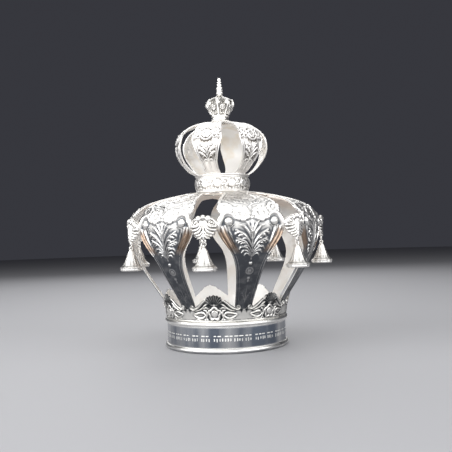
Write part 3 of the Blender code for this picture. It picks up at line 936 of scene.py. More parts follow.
# %% [markdown]
# ## Rings with a plain bore
# The drum and the neck ring are ornament outside and a plain bore inside. They could be spun from
# a section, but the engraved strokes and the flowers need the same fine front as the arms. So each
# is one more blank: its front follows the turned section, and its back is carried to the bore.

# %% Rings with a plain bore
BACK = 20.0  # a lift deeper than any ornament, which marks a blank's back


def arc(centre, radius, first, last, steps):
    """Points of an arc in a section, angles in degrees."""
    angles = np.radians(np.linspace(first, last, steps + 1))
    return [(centre[0] + radius * math.cos(a), centre[1] + radius * math.sin(a)) for a in angles]


def carry_ring(profile, bore):
    """Carries the front to a turned section and the back to a bore of (height, radius) stations."""

    def carry(angle, along, lift):
        radius, height, out, up = profile.read(along)
        back = lift < -BACK / 2
        level = np.interp(along, (0, profile.length), (bore[0][0], bore[-1][0]))
        radius = np.where(back, graded(level, bore), radius + out * lift)
        return place_around(radius, angle, np.where(back, level, height + up * lift))

    return carry


# %% [markdown]
# ## The drum
# The drum is a mirror-polished band between two half-round wires. Its section is two arcs and the
# line between them, read from the foot up. The rows of the blank crowd where the engraver will cut,
# because a stroke is much finer than the band.

# %% Turn the drum
WIRE_CENTRE = BAND_RADIUS - 0.6
FOOT_WIRE, TOP_WIRE = (3.25, 3.25), (DRUM_TOP - 3.2, 3.2)  # height of the middle, radius
DRUM_CELLS = (26 * ARM_COUNT, 12, 4)
DRUM_BORE = ((0, 84.6), (3, 84.6), (4.4, 86.2), (DRUM_TOP, 86.2))
STROKE_FOOT, STROKE_HEAD, LEVEL_STROKES = 16.4, 20.2, 23.6  # heights of the upright and level cuts
STROKE_SIDE = math.radians(104)  # how far the strokes run round each side

drum_section = arc((WIRE_CENTRE, FOOT_WIRE[0]), FOOT_WIRE[1], -90, 90, 24)
drum_section += arc((WIRE_CENTRE, TOP_WIRE[0]), TOP_WIRE[1], -90, 90, 24)
drum_profile = Profile(drum_section)
wire_length = math.pi * FOOT_WIRE[1]
band_foot = wire_length - 2 * FOOT_WIRE[1]  # adding this turns a height on the band into a place
band_end = drum_profile.length - math.pi * TOP_WIRE[1]
dense = (STROKE_FOOT - 1.5 + band_foot, LEVEL_STROKES + 1.5 + band_foot)
drum_rows = (0, wire_length, *dense, band_end, drum_profile.length)

sheet = Sheet(*DRUM_CELLS)
drum_angle = sheet.x * math.pi
drum_along = np.interp(sheet.y, np.array((0, 10, 14, 34, 38, 48)) / 48, drum_rows)
sheet.x, sheet.y = drum_angle * WIRE_CENTRE, drum_along - band_foot
print("the drum's section is", round(drum_profile.length), "mm long")

# %% [markdown]
# ## The drum's engraving
# An engraver has cut the band round its front. The cuts here are strokes in two rows that spell
# nothing: shallow notches, left brighter than the band, laid in groups by a seeded random draw, so
# that every run gives the same drum. Text would be easier, but there is nothing to write.


# %% Engrave the drum
def engrave(points, half, depth=0.3):
    """A shallow cut with sloping sides, left brighter than the band."""
    near, off, _, _, _ = beside(sheet, np.array(points, float), half + 1)
    cut = np.clip(1.6 * (1 - off / half), 0, 1)
    sheet.form[near] = np.minimum(sheet.form[near], -depth * cut)
    sheet.matt[near] = np.maximum(sheet.matt[near], cut**0.5)


rng = np.random.default_rng(11)
place = -STROKE_SIDE * WIRE_CENTRE
while place < STROKE_SIDE * WIRE_CENTRE:
    width = rng.uniform(9, 17)
    along = place
    while along < place + width - 2:
        long = rng.uniform(2.0, 4.6)
        engrave([(along, LEVEL_STROKES), (along + long, LEVEL_STROKES)], 0.8)
        along += long + rng.uniform(2.2, 3.0)
    along = place + rng.uniform(0, 1)
    while along < place + width:
        low_end, high_end = STROKE_FOOT + rng.uniform(0, 1.2), STROKE_HEAD - rng.uniform(0, 0.8)
        engrave([(along, low_end), (along, high_end)], 0.75)
        along += rng.uniform(2.6, 4.4)
    place += width + rng.uniform(2.6, 4.6)

sheet.x, sheet.y = drum_angle, drum_along
on_band = (drum_along > wire_length) & (drum_along < band_end)
# The band is painted dark apart from the cuts, a painted dark reflection
sheet.dark = on_band * (1 - sheet.matt)
sheet.matt = np.where(on_band, sheet.matt, 0.35)
# A painted shadow on the underside of the foot wire
sheet.veil = 0.8 * np.clip(1.5 - drum_along / wire_length * 2.2, 0, 1)
drum = bend("drum", sheet, BACK, carry_ring(drum_profile, DRUM_BORE), ring=True)

# %% [markdown]
# ## The neck ring
# The ring that joins the two crowns is a hollowed band between two rows of beads, with a vine that
# swings between twelve flowers. One twelfth of it is described. Outside it is chased like an arm
# and inside it is a plain bore like the drum, so it shares their tools.

# %% Chase the neck ring
NECK_CELLS = (72, 8, 4)
NECK_RADIUS = 40.0
NECK_LOW, NECK_HIGH = levels("neck_ring")
NECK_BORE = ((NECK_LOW, 37.0), (NECK_HIGH, 37.0))
NECK_FLOWERS = 12
NECK_SECTION = (  # radius, height above the foot
    (39.2, 0), (39.9, 1), (39.5, 2), (38.3, 3.6), (39.3, 7.4), (40.0, 12), (39.9, 17), (39.0, 21),
    (38.2, 23), (39.6, 24.2), (40.1, 25.2),
)

section = [(radius, NECK_LOW + rise) for radius, rise in NECK_SECTION] + [(39.6, NECK_HIGH)]
neck_profile = Profile(curve_through(section))
sheet = Sheet(*NECK_CELLS)
neck_angle = sheet.x * math.pi
reach = NECK_RADIUS * (math.tau / NECK_FLOWERS) / 2  # half of the way between two flowers
sheet.x = from_middle(neck_angle, NECK_FLOWERS) * 2 * reach
sheet.y = sheet.y * neck_profile.length
middle = neck_profile.length * 0.48

flower(sheet, [(0, middle)], 6.0, 7, 1.1)
vine = [(-reach - 1, middle - 6.2), (-reach, middle - 6.8), (-5.6, middle + 1), (-3, middle + 7.4)]
ridge(sheet, vine, (1.1, 1.1), 0.8)
ridge(sheet, [(-x, 2 * middle - y) for x, y in vine], (1.1, 1.1), 0.8)
pairs(ridge, sheet, (
    ([(5.8, middle + 4.4), (8.2, middle + 6.8), (reach + 0.5, middle + 5.6)], (0.7, 1.7, 0.7), 0.9),
    ([(6.0, middle - 3.6), (8.2, middle - 2), (reach + 0.5, middle - 2.2)], (0.7, 1.7, 0.7), 0.9),
))
pair(bead, sheet, [(reach, middle + 1.4), (7.2, middle - 7.0), (3.0, middle - 8.2)], 1.5, 0.9)
for end in (1.4, neck_profile.length - 1.6):
    bead(sheet, [(i * reach / 5, end) for i in range(-5, 6)], 1.0, 0.4)

behind_vine = abs(sheet.y - middle) < 9.6
sheet.dark, sheet.matt = 0.2 * behind_vine, 0.7 * behind_vine
sheet.veil[:] = 0.07
sheet.age *= 0.8
sheet.x = neck_angle
neck = bend("neck_band", sheet, BACK, carry_ring(neck_profile, NECK_BORE), ring=True)

# %% [markdown]
# ## Sawn pieces
# The bows and the tiny crown are pierced. A jeweller scribes the outline and saws along it. Here
# the cells of the grid outside the outline are deleted, and the points that the cut leaves jagged
# are moved onto the outline. A Boolean would cut as well, but it would also break up the even mesh
# that the relief needs.


# %% Saw along an outline
MOST_MOVED = 0.6  # the farthest that a point is carried to the outline, in millimetres
LEAST_STEEP = 0.4  # keeps a point still where the distances hardly change


def saw(x, y, inside):
    """The cells to keep, and all places, with those along the cut moved onto the outline.

    inside holds the distance within the outline for every point, in millimetres."""
    corners = inside[:-1, :-1] + inside[1:, :-1] + inside[:-1, 1:] + inside[1:, 1:]
    kept = corners > 0
    around = np.pad(kept.astype(int), 1)
    touching = around[:-1, :-1] + around[1:, :-1] + around[:-1, 1:] + around[1:, 1:]
    cut = (touching > 0) & (touching < 4)
    cut[[0, -1], :] = cut[:, [0, -1]] = False
    slope_x = np.gradient(inside, axis=1) / np.gradient(x, axis=1)
    slope_y = np.gradient(inside, axis=0) / np.gradient(y, axis=0)
    steep = np.maximum(slope_x**2 + slope_y**2, LEAST_STEEP)
    step = np.where(cut, np.clip(inside, -MOST_MOVED, MOST_MOVED) / steep, 0)
    print("the saw leaves", kept.sum(), "of", kept.size, "cells")
    return kept, x - step * slope_x, y - step * slope_y


# %% [markdown]
# ## A bow
# Each bell hangs from a cast bow: a knot, a fan of strands on both sides, two curled loops, and
# leaves that end in an eye. Everything on it is a strand, so its outline need not be drawn. It is
# simply the edge of the outermost strands, which the sheet has noted, with the eye's hole taken
# away. The flat bow is then curved backward, as a caster would curve the wax.

# %% Cast a bow
BOW_CELLS = (68, 54)
BOW_REACH = 18.6  # half of the blank's width
BOW_LOW, BOW_HIGH = levels("bow_1")[0] - 0.4, levels("bow_1")[1] + 0.6
BOW_BEND = 7.0  # how far its ends lie behind its middle
BOW_WALL = 1.6
BOW_EYE, BOW_EYE_RADIUS = (0, 151.9), 1.7
BELL_AXIS_RADIUS = -(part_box("bell_1")[0].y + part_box("bell_1")[1].y) / 2 / MM
LOOP = (10.2, 175.4)

sheet = Sheet(*BOW_CELLS)
sheet.x, sheet.y = sheet.x * BOW_REACH, BOW_LOW + sheet.y * (BOW_HIGH - BOW_LOW)
strand = (1.0, 1.7, 2.4, 2.2)
pairs(ridge, sheet, (
    ([(2.8, 179.6), (5.0, 174), (8.8, 170.6), (15.4, 170.4)], strand, 2.2),
    ([(2.0, 178.6), (3.6, 172), (7.4, 167.2), (14.4, 165.8)], strand, 2.2),
    ([(1.2, 177), (2.4, 169.6), (5.6, 164), (11.8, 161.6)], strand, 2.2),
    (curl(LOOP, 4.6, 130, -1.5, 0.2), (2.0, 1.9, 1.2), 2.9),
    ([(13.4, 177.6), (15.6, 175.4), (15.6, 172)], (1.6, 2.2, 2.0), 1.8),
    ([(15.4, 173.4), (18, 172.8)], (2.0, 1.8), 1.4),
    ([(1.2, 164.4), (4.2, 160.2), (9.4, 158.8)], (1.2, 2.1, 1.7), 2.1),
    ([(1.0, 160.6), (3.4, 156.8), (6.8, 155.8)], (1.1, 1.8, 1.4), 2.0),
))
ridge(sheet, [(0, 180), (0, 172), (0, 163)], (1.3, 1.5, 2.2), 2.4)
ridge(sheet, [(0, 163), (0, 158), (0, 153.6)], (1.6, 2.6, 1.8), 2.6)
pair(bead, sheet, [LOOP], 1.6, 2.2)
pair(bead, sheet, [(6.4, 180)], 4.2, 2.9)
bead(sheet, [(0, 181.8)], 3.6, 3.8)
bead(sheet, [BOW_EYE], 3.3, 1.0)


def carry_bow(across, height, lift):
    depth = BOW_BEND * (across / BOW_REACH) ** 2 - BELL_AXIS_RADIUS - lift - BOW_WALL / 2
    return np.stack((across, depth, height), -1) * MM


hole = np.hypot(sheet.x - BOW_EYE[0], sheet.y - BOW_EYE[1]) - BOW_EYE_RADIUS
kept, sheet.x, sheet.y = saw(sheet.x, sheet.y, np.minimum(sheet.edge, hole))
sheet.dark[:] = 0.36
sheet.veil[:] = 0.12
sheet.age *= 0.7
bow = bend("bow_leaf_1", sheet, BOW_WALL, carry_bow, kept=kept)
bows = all_round(bow, ARM_COUNT)

# %% [markdown]
# ## The tiny crown
# On top sits a thimble-sized crown on a ring: eight creased ribs between borders, and leaf-shaped
# openings, in each of which an oval boss hangs on a stalk. One eighth is described, by the distance
# from the nearest rib. It could be cast from eight separate ribs, but a pierced sheet has no joins.

# %% Pierce the tiny crown
TINY_FOOT = levels("finial_crown")[0]
TINY_RIBS = 8
TINY_CELLS = (24 * TINY_RIBS, 70)
TINY_WALL = 1.0
TINY_RADIUS = 20.0  # turns an angle into millimetres for the saw
TINY_SECTION = (  # radius, height above the foot
    (12.3, 0.0), (13.5, 0.9), (13.5, 2.0), (12.1, 3.2), (12.1, 6.6), (13.3, 8.0), (13.3, 9.6),
    (12.6, 10.9), (14.4, 14.4), (17.2, 18.8), (19.2, 23.4), (19.3, 27.8), (17.4, 31.8),
    (13.0, 34.6), (8.8, 36.2), (6.2, 37.8), (4.8, 39.4),
)

section = [(radius, TINY_FOOT + rise) for radius, rise in TINY_SECTION]
tiny_profile = Profile(curve_through(section))
sheet = Sheet(*TINY_CELLS)
tiny_angle, tiny_along = sheet.x * math.pi, sheet.y * tiny_profile.length
radius, height, _, _ = tiny_profile.read(tiny_along)
rib_step = math.tau / TINY_RIBS
turned_by = from_middle(tiny_angle, TINY_RIBS) * rib_step
sheet.x, sheet.y = turned_by * radius, height - TINY_FOOT

ridge(sheet, [(0, 10.6), (0, 19), (0, 32), (0, 38)], (1.7, 2.3, 2.3, 1.0), 1.3, crease=0.4)
pair(ridge, sheet, [(3.0, 12), (3.3, 17), (3.1, 22), (3.3, 27), (2.4, 33)], (0.9, 0.9), 1.0)
for rise, half in ((24.0, 1.5), (25.4, 1.9), (26.8, 2.1), (28.2, 2.1), (29.6, 1.9), (31.0, 1.5)):
    bead(sheet, [(0, rise)], half + 0.3, 2.0, foot=0.4)
pair(bead, sheet, [(5.0, 12.6)], 1.4, 1.2)
pair(bead, sheet, [(2.8, 34.6)], 1.2, 0.9)
bead(sheet, [(0, 4.9)], 1.2, 0.8)
for rise in (1.4, 8.8):
    bead(sheet, [(i * 1.65, rise) for i in range(-3, 4)], 0.75, 0.5)
print("the tiny crown's ribs stand", sheet.lift.max().round(1), "mm proud")

# %% [markdown]
# ## The tiny crown's openings
# The outline that the saw follows is built up from distances, one for each thing it goes round: a
# leaf-shaped opening is taken out of the wall, and the boss and its stalk are put back into it. The
# largest of the distances inside is the distance inside them all.

# %% Saw out the openings
OPENING_LOW, OPENING_HIGH, HALF_OPENING = 12.4, 31.6, 4.4
BOSS_HEIGHT, BOSS_RADIUS = 20.6, 3.6
STALK_MIDDLE, STALK_HALF = 28, 1.1

between = (rib_step / 2 - abs(turned_by)) * radius  # distance from the middle of an opening
off_boss = np.hypot(between, sheet.y - BOSS_HEIGHT)
rim = peak(off_boss, 2.7, 0.8) + 1.1 * peak(off_boss, 0, 1.2)
boss = np.maximum(sheet.lift, 1.1 * rim)
sheet.lift = np.where(off_boss < BOSS_RADIUS + 0.3, boss, sheet.lift)

widening = np.sin(ramp(sheet.y, OPENING_LOW, OPENING_HIGH) * math.pi) ** 0.7
open_here = (sheet.y > OPENING_LOW) & (sheet.y < OPENING_HIGH)
beyond_stalk = np.clip(abs(sheet.y - STALK_MIDDLE) - 3, 0, None)
inside = np.where(open_here, between - HALF_OPENING * widening, 1.0)
inside = np.maximum(inside, BOSS_RADIUS - off_boss)
inside = np.maximum(inside, STALK_HALF - abs(between) - 0.3 * beyond_stalk)
sheet.dark = graded(sheet.y, ((9, 0.15), (12, 0.8)))
sheet.veil = graded(sheet.y, ((9, 0), (12, 0.15)))

kept, x, y = saw(tiny_angle * TINY_RADIUS, tiny_along, inside)
sheet.x, sheet.y = x / TINY_RADIUS, y
tiny_crown = bend("tiny_crown", sheet, TINY_WALL, tiny_profile.carry_round, ring=True, kept=kept)

# %% [markdown]
# ## Turned pieces
# The spire and the bells come off a lathe. A section is drawn as a closed chain of edges and spun
# round an upright axis. The screw modifier would do it too, but only round the piece's own origin,
# and the bells stand away from it. Rings of wire hang the bells, and a torus is exactly that.


# %% Turn a section
def turned(name, section, steps, centre=(0, 0)):
    """A closed section of (radius, height) points, spun round an upright axis."""
    bpy.ops.object.select_all(action="DESELECT")
    bpy.ops.mesh.primitive_circle_add(vertices=len(section), radius=1)
    piece = bpy.context.object
    piece.name = name
    x, y = centre
    move_points(piece, [((x + radius) * MM, y * MM, height * MM) for radius, height in section])
    middle = (x * MM, y * MM, 0)
    edit(piece, bpy.ops.mesh.spin, steps=steps, angle=math.tau, center=middle, axis=(0, 0, 1))
    edit(piece, bpy.ops.mesh.remove_doubles, threshold=0.002 * MM)
    edit(piece, bpy.ops.mesh.normals_make_consistent, inside=False)
    shade(piece, 40)
    print(name, len(piece.data.polygons), "faces")
    return piece


def wire_ring(name, centre, radius, wire, facing):
    """A ring of round wire whose hole looks along X or Y."""
    tilt = (math.pi / 2, 0, 0) if facing == "Y" else (0, math.pi / 2, 0)
    bpy.ops.mesh.primitive_torus_add(
        location=[value * MM for value in centre],
        rotation=tilt,
        major_radius=radius * MM,
        minor_radius=wire * MM,
        major_segments=28,
        minor_segments=10,
    )
    ring = bpy.context.object
    ring.name = name
    bpy.ops.object.transform_apply(location=True, rotation=True, scale=True)
    bpy.ops.object.shade_smooth()
    return ring


# %% [markdown]
# ## The spire
# The spire is a stack of turned rings that grow smaller upward, with a knob at the end. Every ring
# is the same round moulding, so a table of heights and sizes is enough to draw its section.

# %% Turn the spire
SPIRE_FOOT = levels("spire")[0]
SPIRE_RINGS = (  # height of the middle above the foot, radius, half of the height
    (4.0, 5.1, 1.8),
    (7.7, 4.4, 1.2),
    (11.0, 4.7, 1.8),
    (16.0, 3.6, 1.9),
    (19.9, 3.4, 1.2),
    (24.1, 2.5, 2.4),
)
SPIRE_CORE = 0.62  # share of a ring's radius that its core has

section = [(0, SPIRE_FOOT), (4.8, SPIRE_FOOT), (3.6, SPIRE_FOOT + 1.4)]
for middle, radius, half in SPIRE_RINGS:
    core = SPIRE_CORE * radius
    section.append((core, SPIRE_FOOT + middle - half))
    for degrees in (-60, -35, -12, 12, 35, 60):
        a = math.radians(degrees)
        bulge = core + (radius - core) * math.cos(a) ** 0.7
        section.append((bulge, SPIRE_FOOT + middle + half * math.sin(a)))
middle, radius, half = SPIRE_RINGS[-1]
section.append((0.55 * radius, SPIRE_FOOT + middle + half + 0.1))
section.append((0, SPIRE_FOOT + middle + half + 0.4))
spire = turned("spire_turning", section, 36)

# %% [markdown]
# ## The bells
# The little bells are spun from one closed section that runs down the outside, round a rolled lip
# and up the inside, so the wall has its thickness at once. A solidify modifier would give an even
# wall, and a real bell is thickest at the lip.

# %% Turn a bell
BELL_LIP = levels("bell_1")[0]
BELL_CENTRE = (0, -BELL_AXIS_RADIUS)
BELL_FLUTES = 14
BELL_OUTSIDE = (  # radius, height above the lip
    (0.0, 29.9), (1.5, 29.7), (2.4, 28.9), (3.3, 27.4), (4.4, 24.8), (5.5, 21.8), (6.7, 18.6),
    (7.9, 15.4), (9.1, 12.4), (10.4, 9.7), (12.2, 7.1), (14.8, 5.1),
)
BELL_ROLLED_LIP = (
    (15.4, 4.4), (15.4, 3.6), (14.9, 2.9), (15.1, 2.1), (14.9, 1.2), (14.2, 0.4), (13.6, 0.0),
    (13.2, 0.5),
)
BELL_INSIDE = (
    (13.0, 4.2), (11.2, 6.6), (9.4, 9.4), (8.1, 12.2), (6.9, 15.2), (5.7, 18.4), (4.5, 21.6),
    (3.4, 24.6), (2.2, 27.0), (0.0, 28.2),
)

bell_points = [*curve_through(BELL_OUTSIDE, 3), *BELL_ROLLED_LIP, *curve_through(BELL_INSIDE, 2)]
section = [(radius, BELL_LIP + rise) for radius, rise in bell_points]
bell = turned("bell_cup_1", section, 4 * BELL_FLUTES, BELL_CENTRE)

# %% [markdown]
# ## The bell's flutes
# The wall is pressed into fourteen shallow flutes, a wave round the bell's own axis. Each is lit on
# one side, and painted shade darkens the hollows between them and the throat of the lip. The bell
# has four faces to a flute, the fewest that draw a wave, because seven bells hang on the crown.

# %% Flute the bell
FLUTE_DEPTH = 0.03  # as a share of the radius

places = points_of(bell)
x, y, rise = (places / MM - (*BELL_CENTRE, BELL_LIP)).T
wave = np.cos(BELL_FLUTES * np.arctan2(x, y))
body = graded(rise, ((7, 0), (9, 1), (20, 1), (25, 0)))
# Painted shade in the flutes' hollows and at the throat of the lip, and an even dulling
tarnish = 0.62 * body * np.clip(0.1 - wave, 0, 1) + 0.6 * peak(rise, 6.4, 1.1)
note = bell.data.attributes.new("tarnish", "FLOAT", "POINT")
note.data.foreach_set("value", np.clip(tarnish + 0.1, 0, 1).astype(np.float32))
centre = BELL_CENTRE[1] * MM
places[:, 0] *= 1 + FLUTE_DEPTH * wave
places[:, 1] = (places[:, 1] - centre) * (1 + FLUTE_DEPTH * wave) + centre
move_points(bell, places)
print("the bell flares to", round(np.ptp(places[:, 0]) / MM, 1), "mm across")

# %% [markdown]
# ## Hanging the bells
# A wire eye is joined to the top of the bell, and a loose link of thinner wire ties it to the bow.
# The eye and the link look different ways, as the links of a chain do. Both are kept coarse, since
# fourteen of them hang on the crown and each is thinner than a match.

# %% Hang the bells
eye = wire_ring("bell_eye", (*BELL_CENTRE, BELL_LIP + 31), 2.2, 0.7, "X")
only(bell)
eye.select_set(True)
bpy.ops.object.join()
bells = all_round(bell, ARM_COUNT)
link = wire_ring("link_1", (*BELL_CENTRE, sum(levels("bell_ring_1")) / 2), 2.9, 0.5, "Y")
links = all_round(link, ARM_COUNT)
print("hung", len(bells), "bells on", len(links), "links")

# %% [markdown]
# ## The silver
# Sterling silver has one true colour, a warm white, and most of the rest is how it was finished:
# mirror-polished on the band, burnished on the raised chasing, matted with a point punch and
# darkened with liver of sulphur in the grounds, satin on the inside. Painted light is laid on top:
# painted shade and painted dark reflection on the stems, the crest, the band and in creases, and
# painted warm light on the ribs and inside the dome. So all finishes come from one recipe with
# different amounts, and the recipe reads what the sheets noted on their points. First come its
# tools. Colours are written as a screen shows them and turned into light, and patterns are given by
# the real size of their features.


# %% Colours, nodes and scales
def linear(colour):
    """A '#rrggbb' colour as the eye sees it, turned into the light that Blender mixes."""
    channels = [int(colour[i : i + 2], 16) / 255 for i in (1, 3, 5)]
    return [c / 12.92 if c <= 0.04045 else ((c + 0.055) / 1.055) ** 2.4 for c in channels] + [1]


def add_node(tree, kind, settings=None, links=None, out=0):
    """Adds a shader node, sets its properties or unlinked inputs, links outputs to its inputs, and
    returns one of its outputs."""
    node = tree.nodes.new("ShaderNode" + kind)
    for name, value in (settings or {}).items():
        if isinstance(name, str) and hasattr(node, name):
            setattr(node, name, value)
        else:
            node.inputs[name].default_value = value
    for name, source in (links or {}).items():
        tree.links.new(source, node.inputs[name])
    return node.outputs[out]


def scale_for(millimetres):
    """The scale of a pattern whose features are that big, on coordinates in metres."""
    return 1 / (millimetres * MM)


# %% [markdown]
# ## The colour of silver
# Silver is a metal, so its colour is the colour of its reflections. Outside it runs from clean to
# dark where tarnish and painted shade were noted, and the darkening gathers in clouds, which one
# slow noise weakens here and strengthens there. The inner side was never polished: acid left it
# white, with broad faint stains. An image of silver wrapped round the pieces would be quicker, but
# it would carry another room's reflections.

# %% Colour the silver
MIX = 2  # the output of a Mix node that carries a colour
STRAW = "#e4bb92"  # a straw colour, for painted warm reflection on the ribs and painted warm shade inside the dome
PICKLED = ("#fefdfb", "#f3eee6")  # white from the acid, and stained
STAIN_MM = 24.0


def tarnished(tree, cloud, tarnish, bright, dark, patches):
    """The outside, clean where a cloth reaches and dark where tarnish and painted shade were noted."""
    patchy = {"From Min": 0.3, "From Max": 0.7, "To Min": patches[0], "To Max": patches[1]}
    uneven = add_node(tree, "MapRange", patchy, {"Value": cloud})
    clamped = {"operation": "MULTIPLY", "use_clamp": True}
    amount = add_node(tree, "Math", clamped, {0: tarnish, 1: uneven})
    tones = {"data_type": "RGBA", 6: linear(bright), 7: linear(dark)}
    return add_node(tree, "Mix", tones, {0: amount}, MIX)


def pickled(tree, place, tones):
    """The inner side, as it came from the acid."""
    broad = {"Scale": scale_for(STAIN_MM), "Detail": 3.0}
    stain = add_node(tree, "TexNoise", broad, {"Vector": place}, out="Fac")
    faint = {"From Min": 0.46, "From Max": 0.66, "To Max": 0.5}
    stained = add_node(tree, "MapRange", faint, {"Value": stain})
    mixed = {"data_type": "RGBA", 6: linear(tones[0]), 7: linear(tones[1])}
    return add_node(tree, "Mix", mixed, {0: stained}, MIX)


# %% [markdown]
# ## The touch of silver
# Roughness decides whether the reflections are sharp: burnished metal mirrors, matted ground
# scatters, and handling leaves both a little uneven. The bump holds what is too small to model, the
# pits of the point punch in the ground and the soft waves that the hammer leaves everywhere.

# %% Roughen and dent the silver
PICKLED_ROUGH = 0.62
PUNCH_MM = 0.9  # real marks are half of that: too fine to show from here, so they are coarser


def handled(tree, cloud, matted, inside, polish, ground):
    """How rough the metal is."""
    rough = add_node(tree, "MapRange", {"To Min": polish, "To Max": ground}, {"Value": matted})
    little = {"From Min": 0.3, "From Max": 0.7, "To Min": -0.03, "To Max": 0.05}
    smears = add_node(tree, "MapRange", little, {"Value": cloud})
    outside = add_node(tree, "Math", {"operation": "ADD"}, {0: rough, 1: smears})
    satin = {"data_type": "FLOAT", 3: PICKLED_ROUGH}
    return add_node(tree, "Mix", satin, {0: inside, 2: outside})


def dented(tree, place, matted, wave_mm, dents):
    """The normal of metal with punch marks where it is matted and hammer waves everywhere."""
    punch = add_node(tree, "TexVoronoi", {"Scale": scale_for(PUNCH_MM)}, {"Vector": place})
    pits = add_node(tree, "Math", {"operation": "MULTIPLY"}, {0: punch, 1: matted})
    hammer = {"Scale": scale_for(wave_mm * 0.5), "Detail": 1.0}
    waves = add_node(tree, "TexNoise", hammer, {"Vector": place}, out="Fac")
    height = add_node(tree, "Math", {"operation": "MULTIPLY_ADD", 1: 0.6}, {0: waves, 2: pits})
    return add_node(tree, "Bump", {"Strength": 0.5, "Distance": dents * MM}, {"Height": height})


# %% [markdown]
# ## The recipe
# The recipe reads the notes on the points and joins the colour, the roughness and the bump in one
# metal shader. Metallic is the same all over, so it is set on the shader itself. A layered shader
# for the tarnish would look much the same, and an exported model could not carry it.


# %% The recipe for silver
def silver(
    name, bright, dark, polish, ground, inner=PICKLED, dents=0.2, wave_mm=9.0, patches=(0.9, 1.06),
    upright=1.0,
):
    """Silver whose tarnish, painted shade, painted warm light, matting and inner side follow what was
    noted on the points.

    bright and dark are the metal clean and fully darkened by tarnish and painted shade, polish and
    ground its roughness where it is burnished and where it is matted, dents the depth of its
    unevenness in millimetres, and wave_mm, patches and upright the size, strength and squash of the
    clouds in its darkening."""
    material = bpy.data.materials.new(name)
    material.use_nodes = True
    tree = material.node_tree
    shader = tree.nodes["Principled BSDF"]
    shader.inputs["Metallic"].default_value = 1.0
    place = add_node(tree, "TexCoord", out="Object")
    tarnish, tinge, matted, inside = (
        add_node(tree, "Attribute", {"attribute_name": note}, out="Fac")
        for note in ("tarnish", "tinge", "matted", "inside")
    )
    drawn = add_node(tree, "VectorMath", {"operation": "MULTIPLY", 1: (1, 1, upright)}, {0: place})
    slow = {"Scale": scale_for(wave_mm), "Detail": 3.0}
    cloud = add_node(tree, "TexNoise", slow, {"Vector": drawn}, out="Fac")
    outer = tarnished(tree, cloud, tarnish, bright, dark, patches)
    within = pickled(tree, place, inner)
    sides = add_node(tree, "Mix", {"data_type": "RGBA"}, {0: inside, 6: outer, 7: within}, MIX)
    # Painted warm light: warm reflection on the ribs, warm shade inside the dome
    straw = {"data_type": "RGBA", 7: linear(STRAW)}
    colour = add_node(tree, "Mix", straw, {0: tinge, 6: sides}, MIX)
    rough = handled(tree, cloud, matted, inside, polish, ground)
    tree.links.new(colour, shader.inputs["Base Color"])
    tree.links.new(rough, shader.inputs["Roughness"])
    tree.links.new(dented(tree, place, matted, wave_mm, dents), shader.inputs["Normal"])
    print(name, "has", len(tree.nodes), "nodes")
    return material


# %% [markdown]
# ## Six finishes
# Every piece now gets its finish. Each row of the table also names a slot, which nothing reads.
# What differs is how bright, how dark and how rough, and that decides what the eye sees first:
# the crest darkened by painted reflection under the bright shoulder, and the band like a dark
# mirror, its darkness painted, below both.

# %% Finish the pieces
# The lower arms: white on the leaves and blue-black in the stems, partly oxide and partly a
# painted dark reflection, which draws every leaf
chased = silver("chased_silver_oxidised", "#fbf9f5", "#56595e", 0.32, 0.46)
# The upper arms and the neck: rubbed paler and softer, so that the little crown glows
light_chased = silver(
    "chased_silver_bright", "#fcfaf7", "#5f5952", 0.42, 0.54, inner=("#fffefc", "#efe2cd")
)
# The crest: nearly black behind the shells, a painted dark reflection, which makes it read as a dark
# lace
crest_silver = silver("crest_silver_oxidised", "#f9f7f2", "#2e3236", 0.36, 0.46)
# The castings: glossier than chased sheet, with soft grey in the hollows
cast = silver("cast_silver_polished", "#fcfaf6", "#5e5c57", 0.3, 0.4)
# The band: a mirror with long level clouds of blue-grey, a painted dark reflection
band = silver(
    "band_silver_mirror", "#fdfcf8", "#6f7783", 0.13, 0.6, dents=0.08, wave_mm=26.0,
    patches=(0.4, 1.15), upright=0.12,
)
# The bells and the spire: buffed on the lathe, even and white
buffed = silver("buffed_silver_turned", "#fcfaf6", "#4b4a48", 0.38, 0.4, dents=0.08)

finishes = (
    (chased, arms, "chased_silver"),
    (light_chased, [*upper_arms, neck], "chased_silver"),
    (crest_silver, [crest], "chased_silver"),
    (band, [drum], "mirror_silver"),
    (cast, [*bows, tiny_crown, *links], "cast_silver"),
    (buffed, [*bells, spire], "mirror_silver"),
)
for material, pieces, slot in finishes:
    for piece in pieces:
        piece.data.materials.clear()
        piece.data.materials.append(material)
    print(material.name, "on", len(pieces), "pieces")

# %% [markdown]
# ## Hand the pieces to the frame
# Nothing on this crown moves, so every piece rides on the one body. Each also stands for its solid,
# which stays in the simulation and is hidden here.

# %% Ride and replace
stands_for = {
    drum: "base_drum",
    crest: "crest",
    neck: "neck_ring",
    tiny_crown: "finial_crown",
    spire: "spire",
}
families = {"stave": arms, "bow": bows, "bell": bells, "bell_ring": links, "upper_stave": upper_arms}
for node, pieces in families.items():
    for i in range(len(pieces)):
        stands_for[pieces[i]] = f"{node}_{i + 1}"
for piece, node in stands_for.items():
    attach(piece, "root")
    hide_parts(node)
total = sum(sum(len(face.vertices) - 2 for face in piece.data.polygons) for piece in stands_for)
print("the crown has", len(stands_for), "pieces and", total, "triangles")

# %% [markdown]
# ## The studio
# Silver shows its surroundings. Large soft lamps give it broad white shapes to mirror, and a dim
# room between them keeps its edges dark. The floor is plain and pale.

# %% Floor, lamps and room
bpy.ops.mesh.primitive_circle_add(vertices=96, radius=6, fill_type="NGON", location=(0, 0, -0.0002))
floor = bpy.context.object
floor.name = "floor"
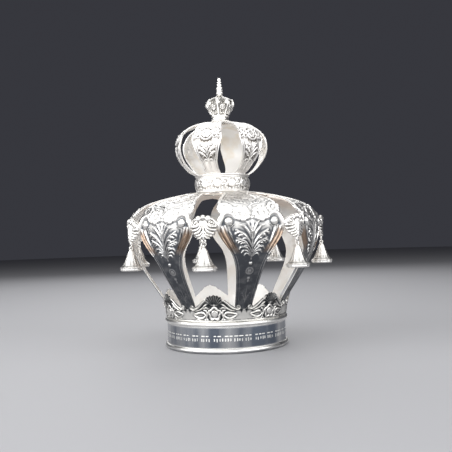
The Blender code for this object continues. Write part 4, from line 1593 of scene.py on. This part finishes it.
# Matt grey paper throws soft light up under the shoulder and shows no reflection of the crown
floor_paper = bpy.data.materials.new("floor_paper")
floor_paper.use_nodes = True
paper = floor_paper.node_tree.nodes["Principled BSDF"]
paper.inputs["Base Color"].default_value = linear("#98989b")
paper.inputs["Roughness"].default_value = 0.7
floor.data.materials.append(floor_paper)


def soft_lamp(name, place, size, watts, aim=(0, 0, 0.17)):
    """A rectangular lamp that looks at the middle of the crown."""
    lamp = bpy.data.lights.new(name, "AREA")
    lamp.shape = "RECTANGLE"
    lamp.size, lamp.size_y = size
    lamp.energy = watts
    holder = bpy.data.objects.new(name, lamp)
    bpy.context.scene.collection.objects.link(holder)
    holder.location = place
    holder.rotation_euler = (Vector(aim) - Vector(place)).to_track_quat("-Z", "Y").to_euler()


soft_lamp("key", (-1.5, -1.0, 1.0), (1.8, 1.5), 38)
soft_lamp("front", (0.0, -2.0, 0.78), (2.4, 1.4), 37)
soft_lamp("fill", (1.5, -0.7, 0.8), (1.5, 1.2), 20)
soft_lamp("top", (0.0, 0.1, 1.7), (2.4, 2.4), 27)
soft_lamp("back", (-0.4, 1.6, 1.1), (1.4, 0.9), 13)

world = bpy.data.worlds.new("room")
bpy.context.scene.world = world
world.use_nodes = True
backdrop = world.node_tree.nodes["Background"]
backdrop.inputs["Color"].default_value = linear("#4e4f57")
backdrop.inputs["Strength"].default_value = 0.5
print("the studio has", len(bpy.data.lights), "lamps")

# %% [markdown]
# ## The camera
# The camera stands a little to the right of the front bell, level with the bells' feet, and looks
# very slightly up. It is placed by a distance and angles rather than by coordinates, because those
# are what one changes when looking for a view.

# %% Camera
CAMERA_DISTANCE, CAMERA_HEIGHT = 0.931, 0.155
angles = (10.14, 0.22, 1.12, -1.79)
CAMERA_SIDE, CAMERA_AIM, CAMERA_TILT, CAMERA_ROLL = (math.radians(angle) for angle in angles)

camera_data = bpy.data.cameras.new("camera")
camera_data.lens, camera_data.sensor_width = 50, 36
camera = bpy.data.objects.new("camera", camera_data)
bpy.context.scene.collection.objects.link(camera)
aside, back = CAMERA_DISTANCE * math.sin(CAMERA_SIDE), CAMERA_DISTANCE * math.cos(CAMERA_SIDE)
camera.location = (aside, -back, CAMERA_HEIGHT)
turn = Matrix.Rotation(CAMERA_SIDE - CAMERA_AIM, 3, "Z")
tilt = Matrix.Rotation(math.pi / 2 + CAMERA_TILT, 3, "X")
roll = Matrix.Rotation(CAMERA_ROLL, 3, "Z")
camera.rotation_euler = (turn @ tilt @ roll).to_euler()
bpy.context.scene.camera = camera
bpy.context.scene.view_settings.view_transform = "Standard"
print("the camera stands at", camera.location)
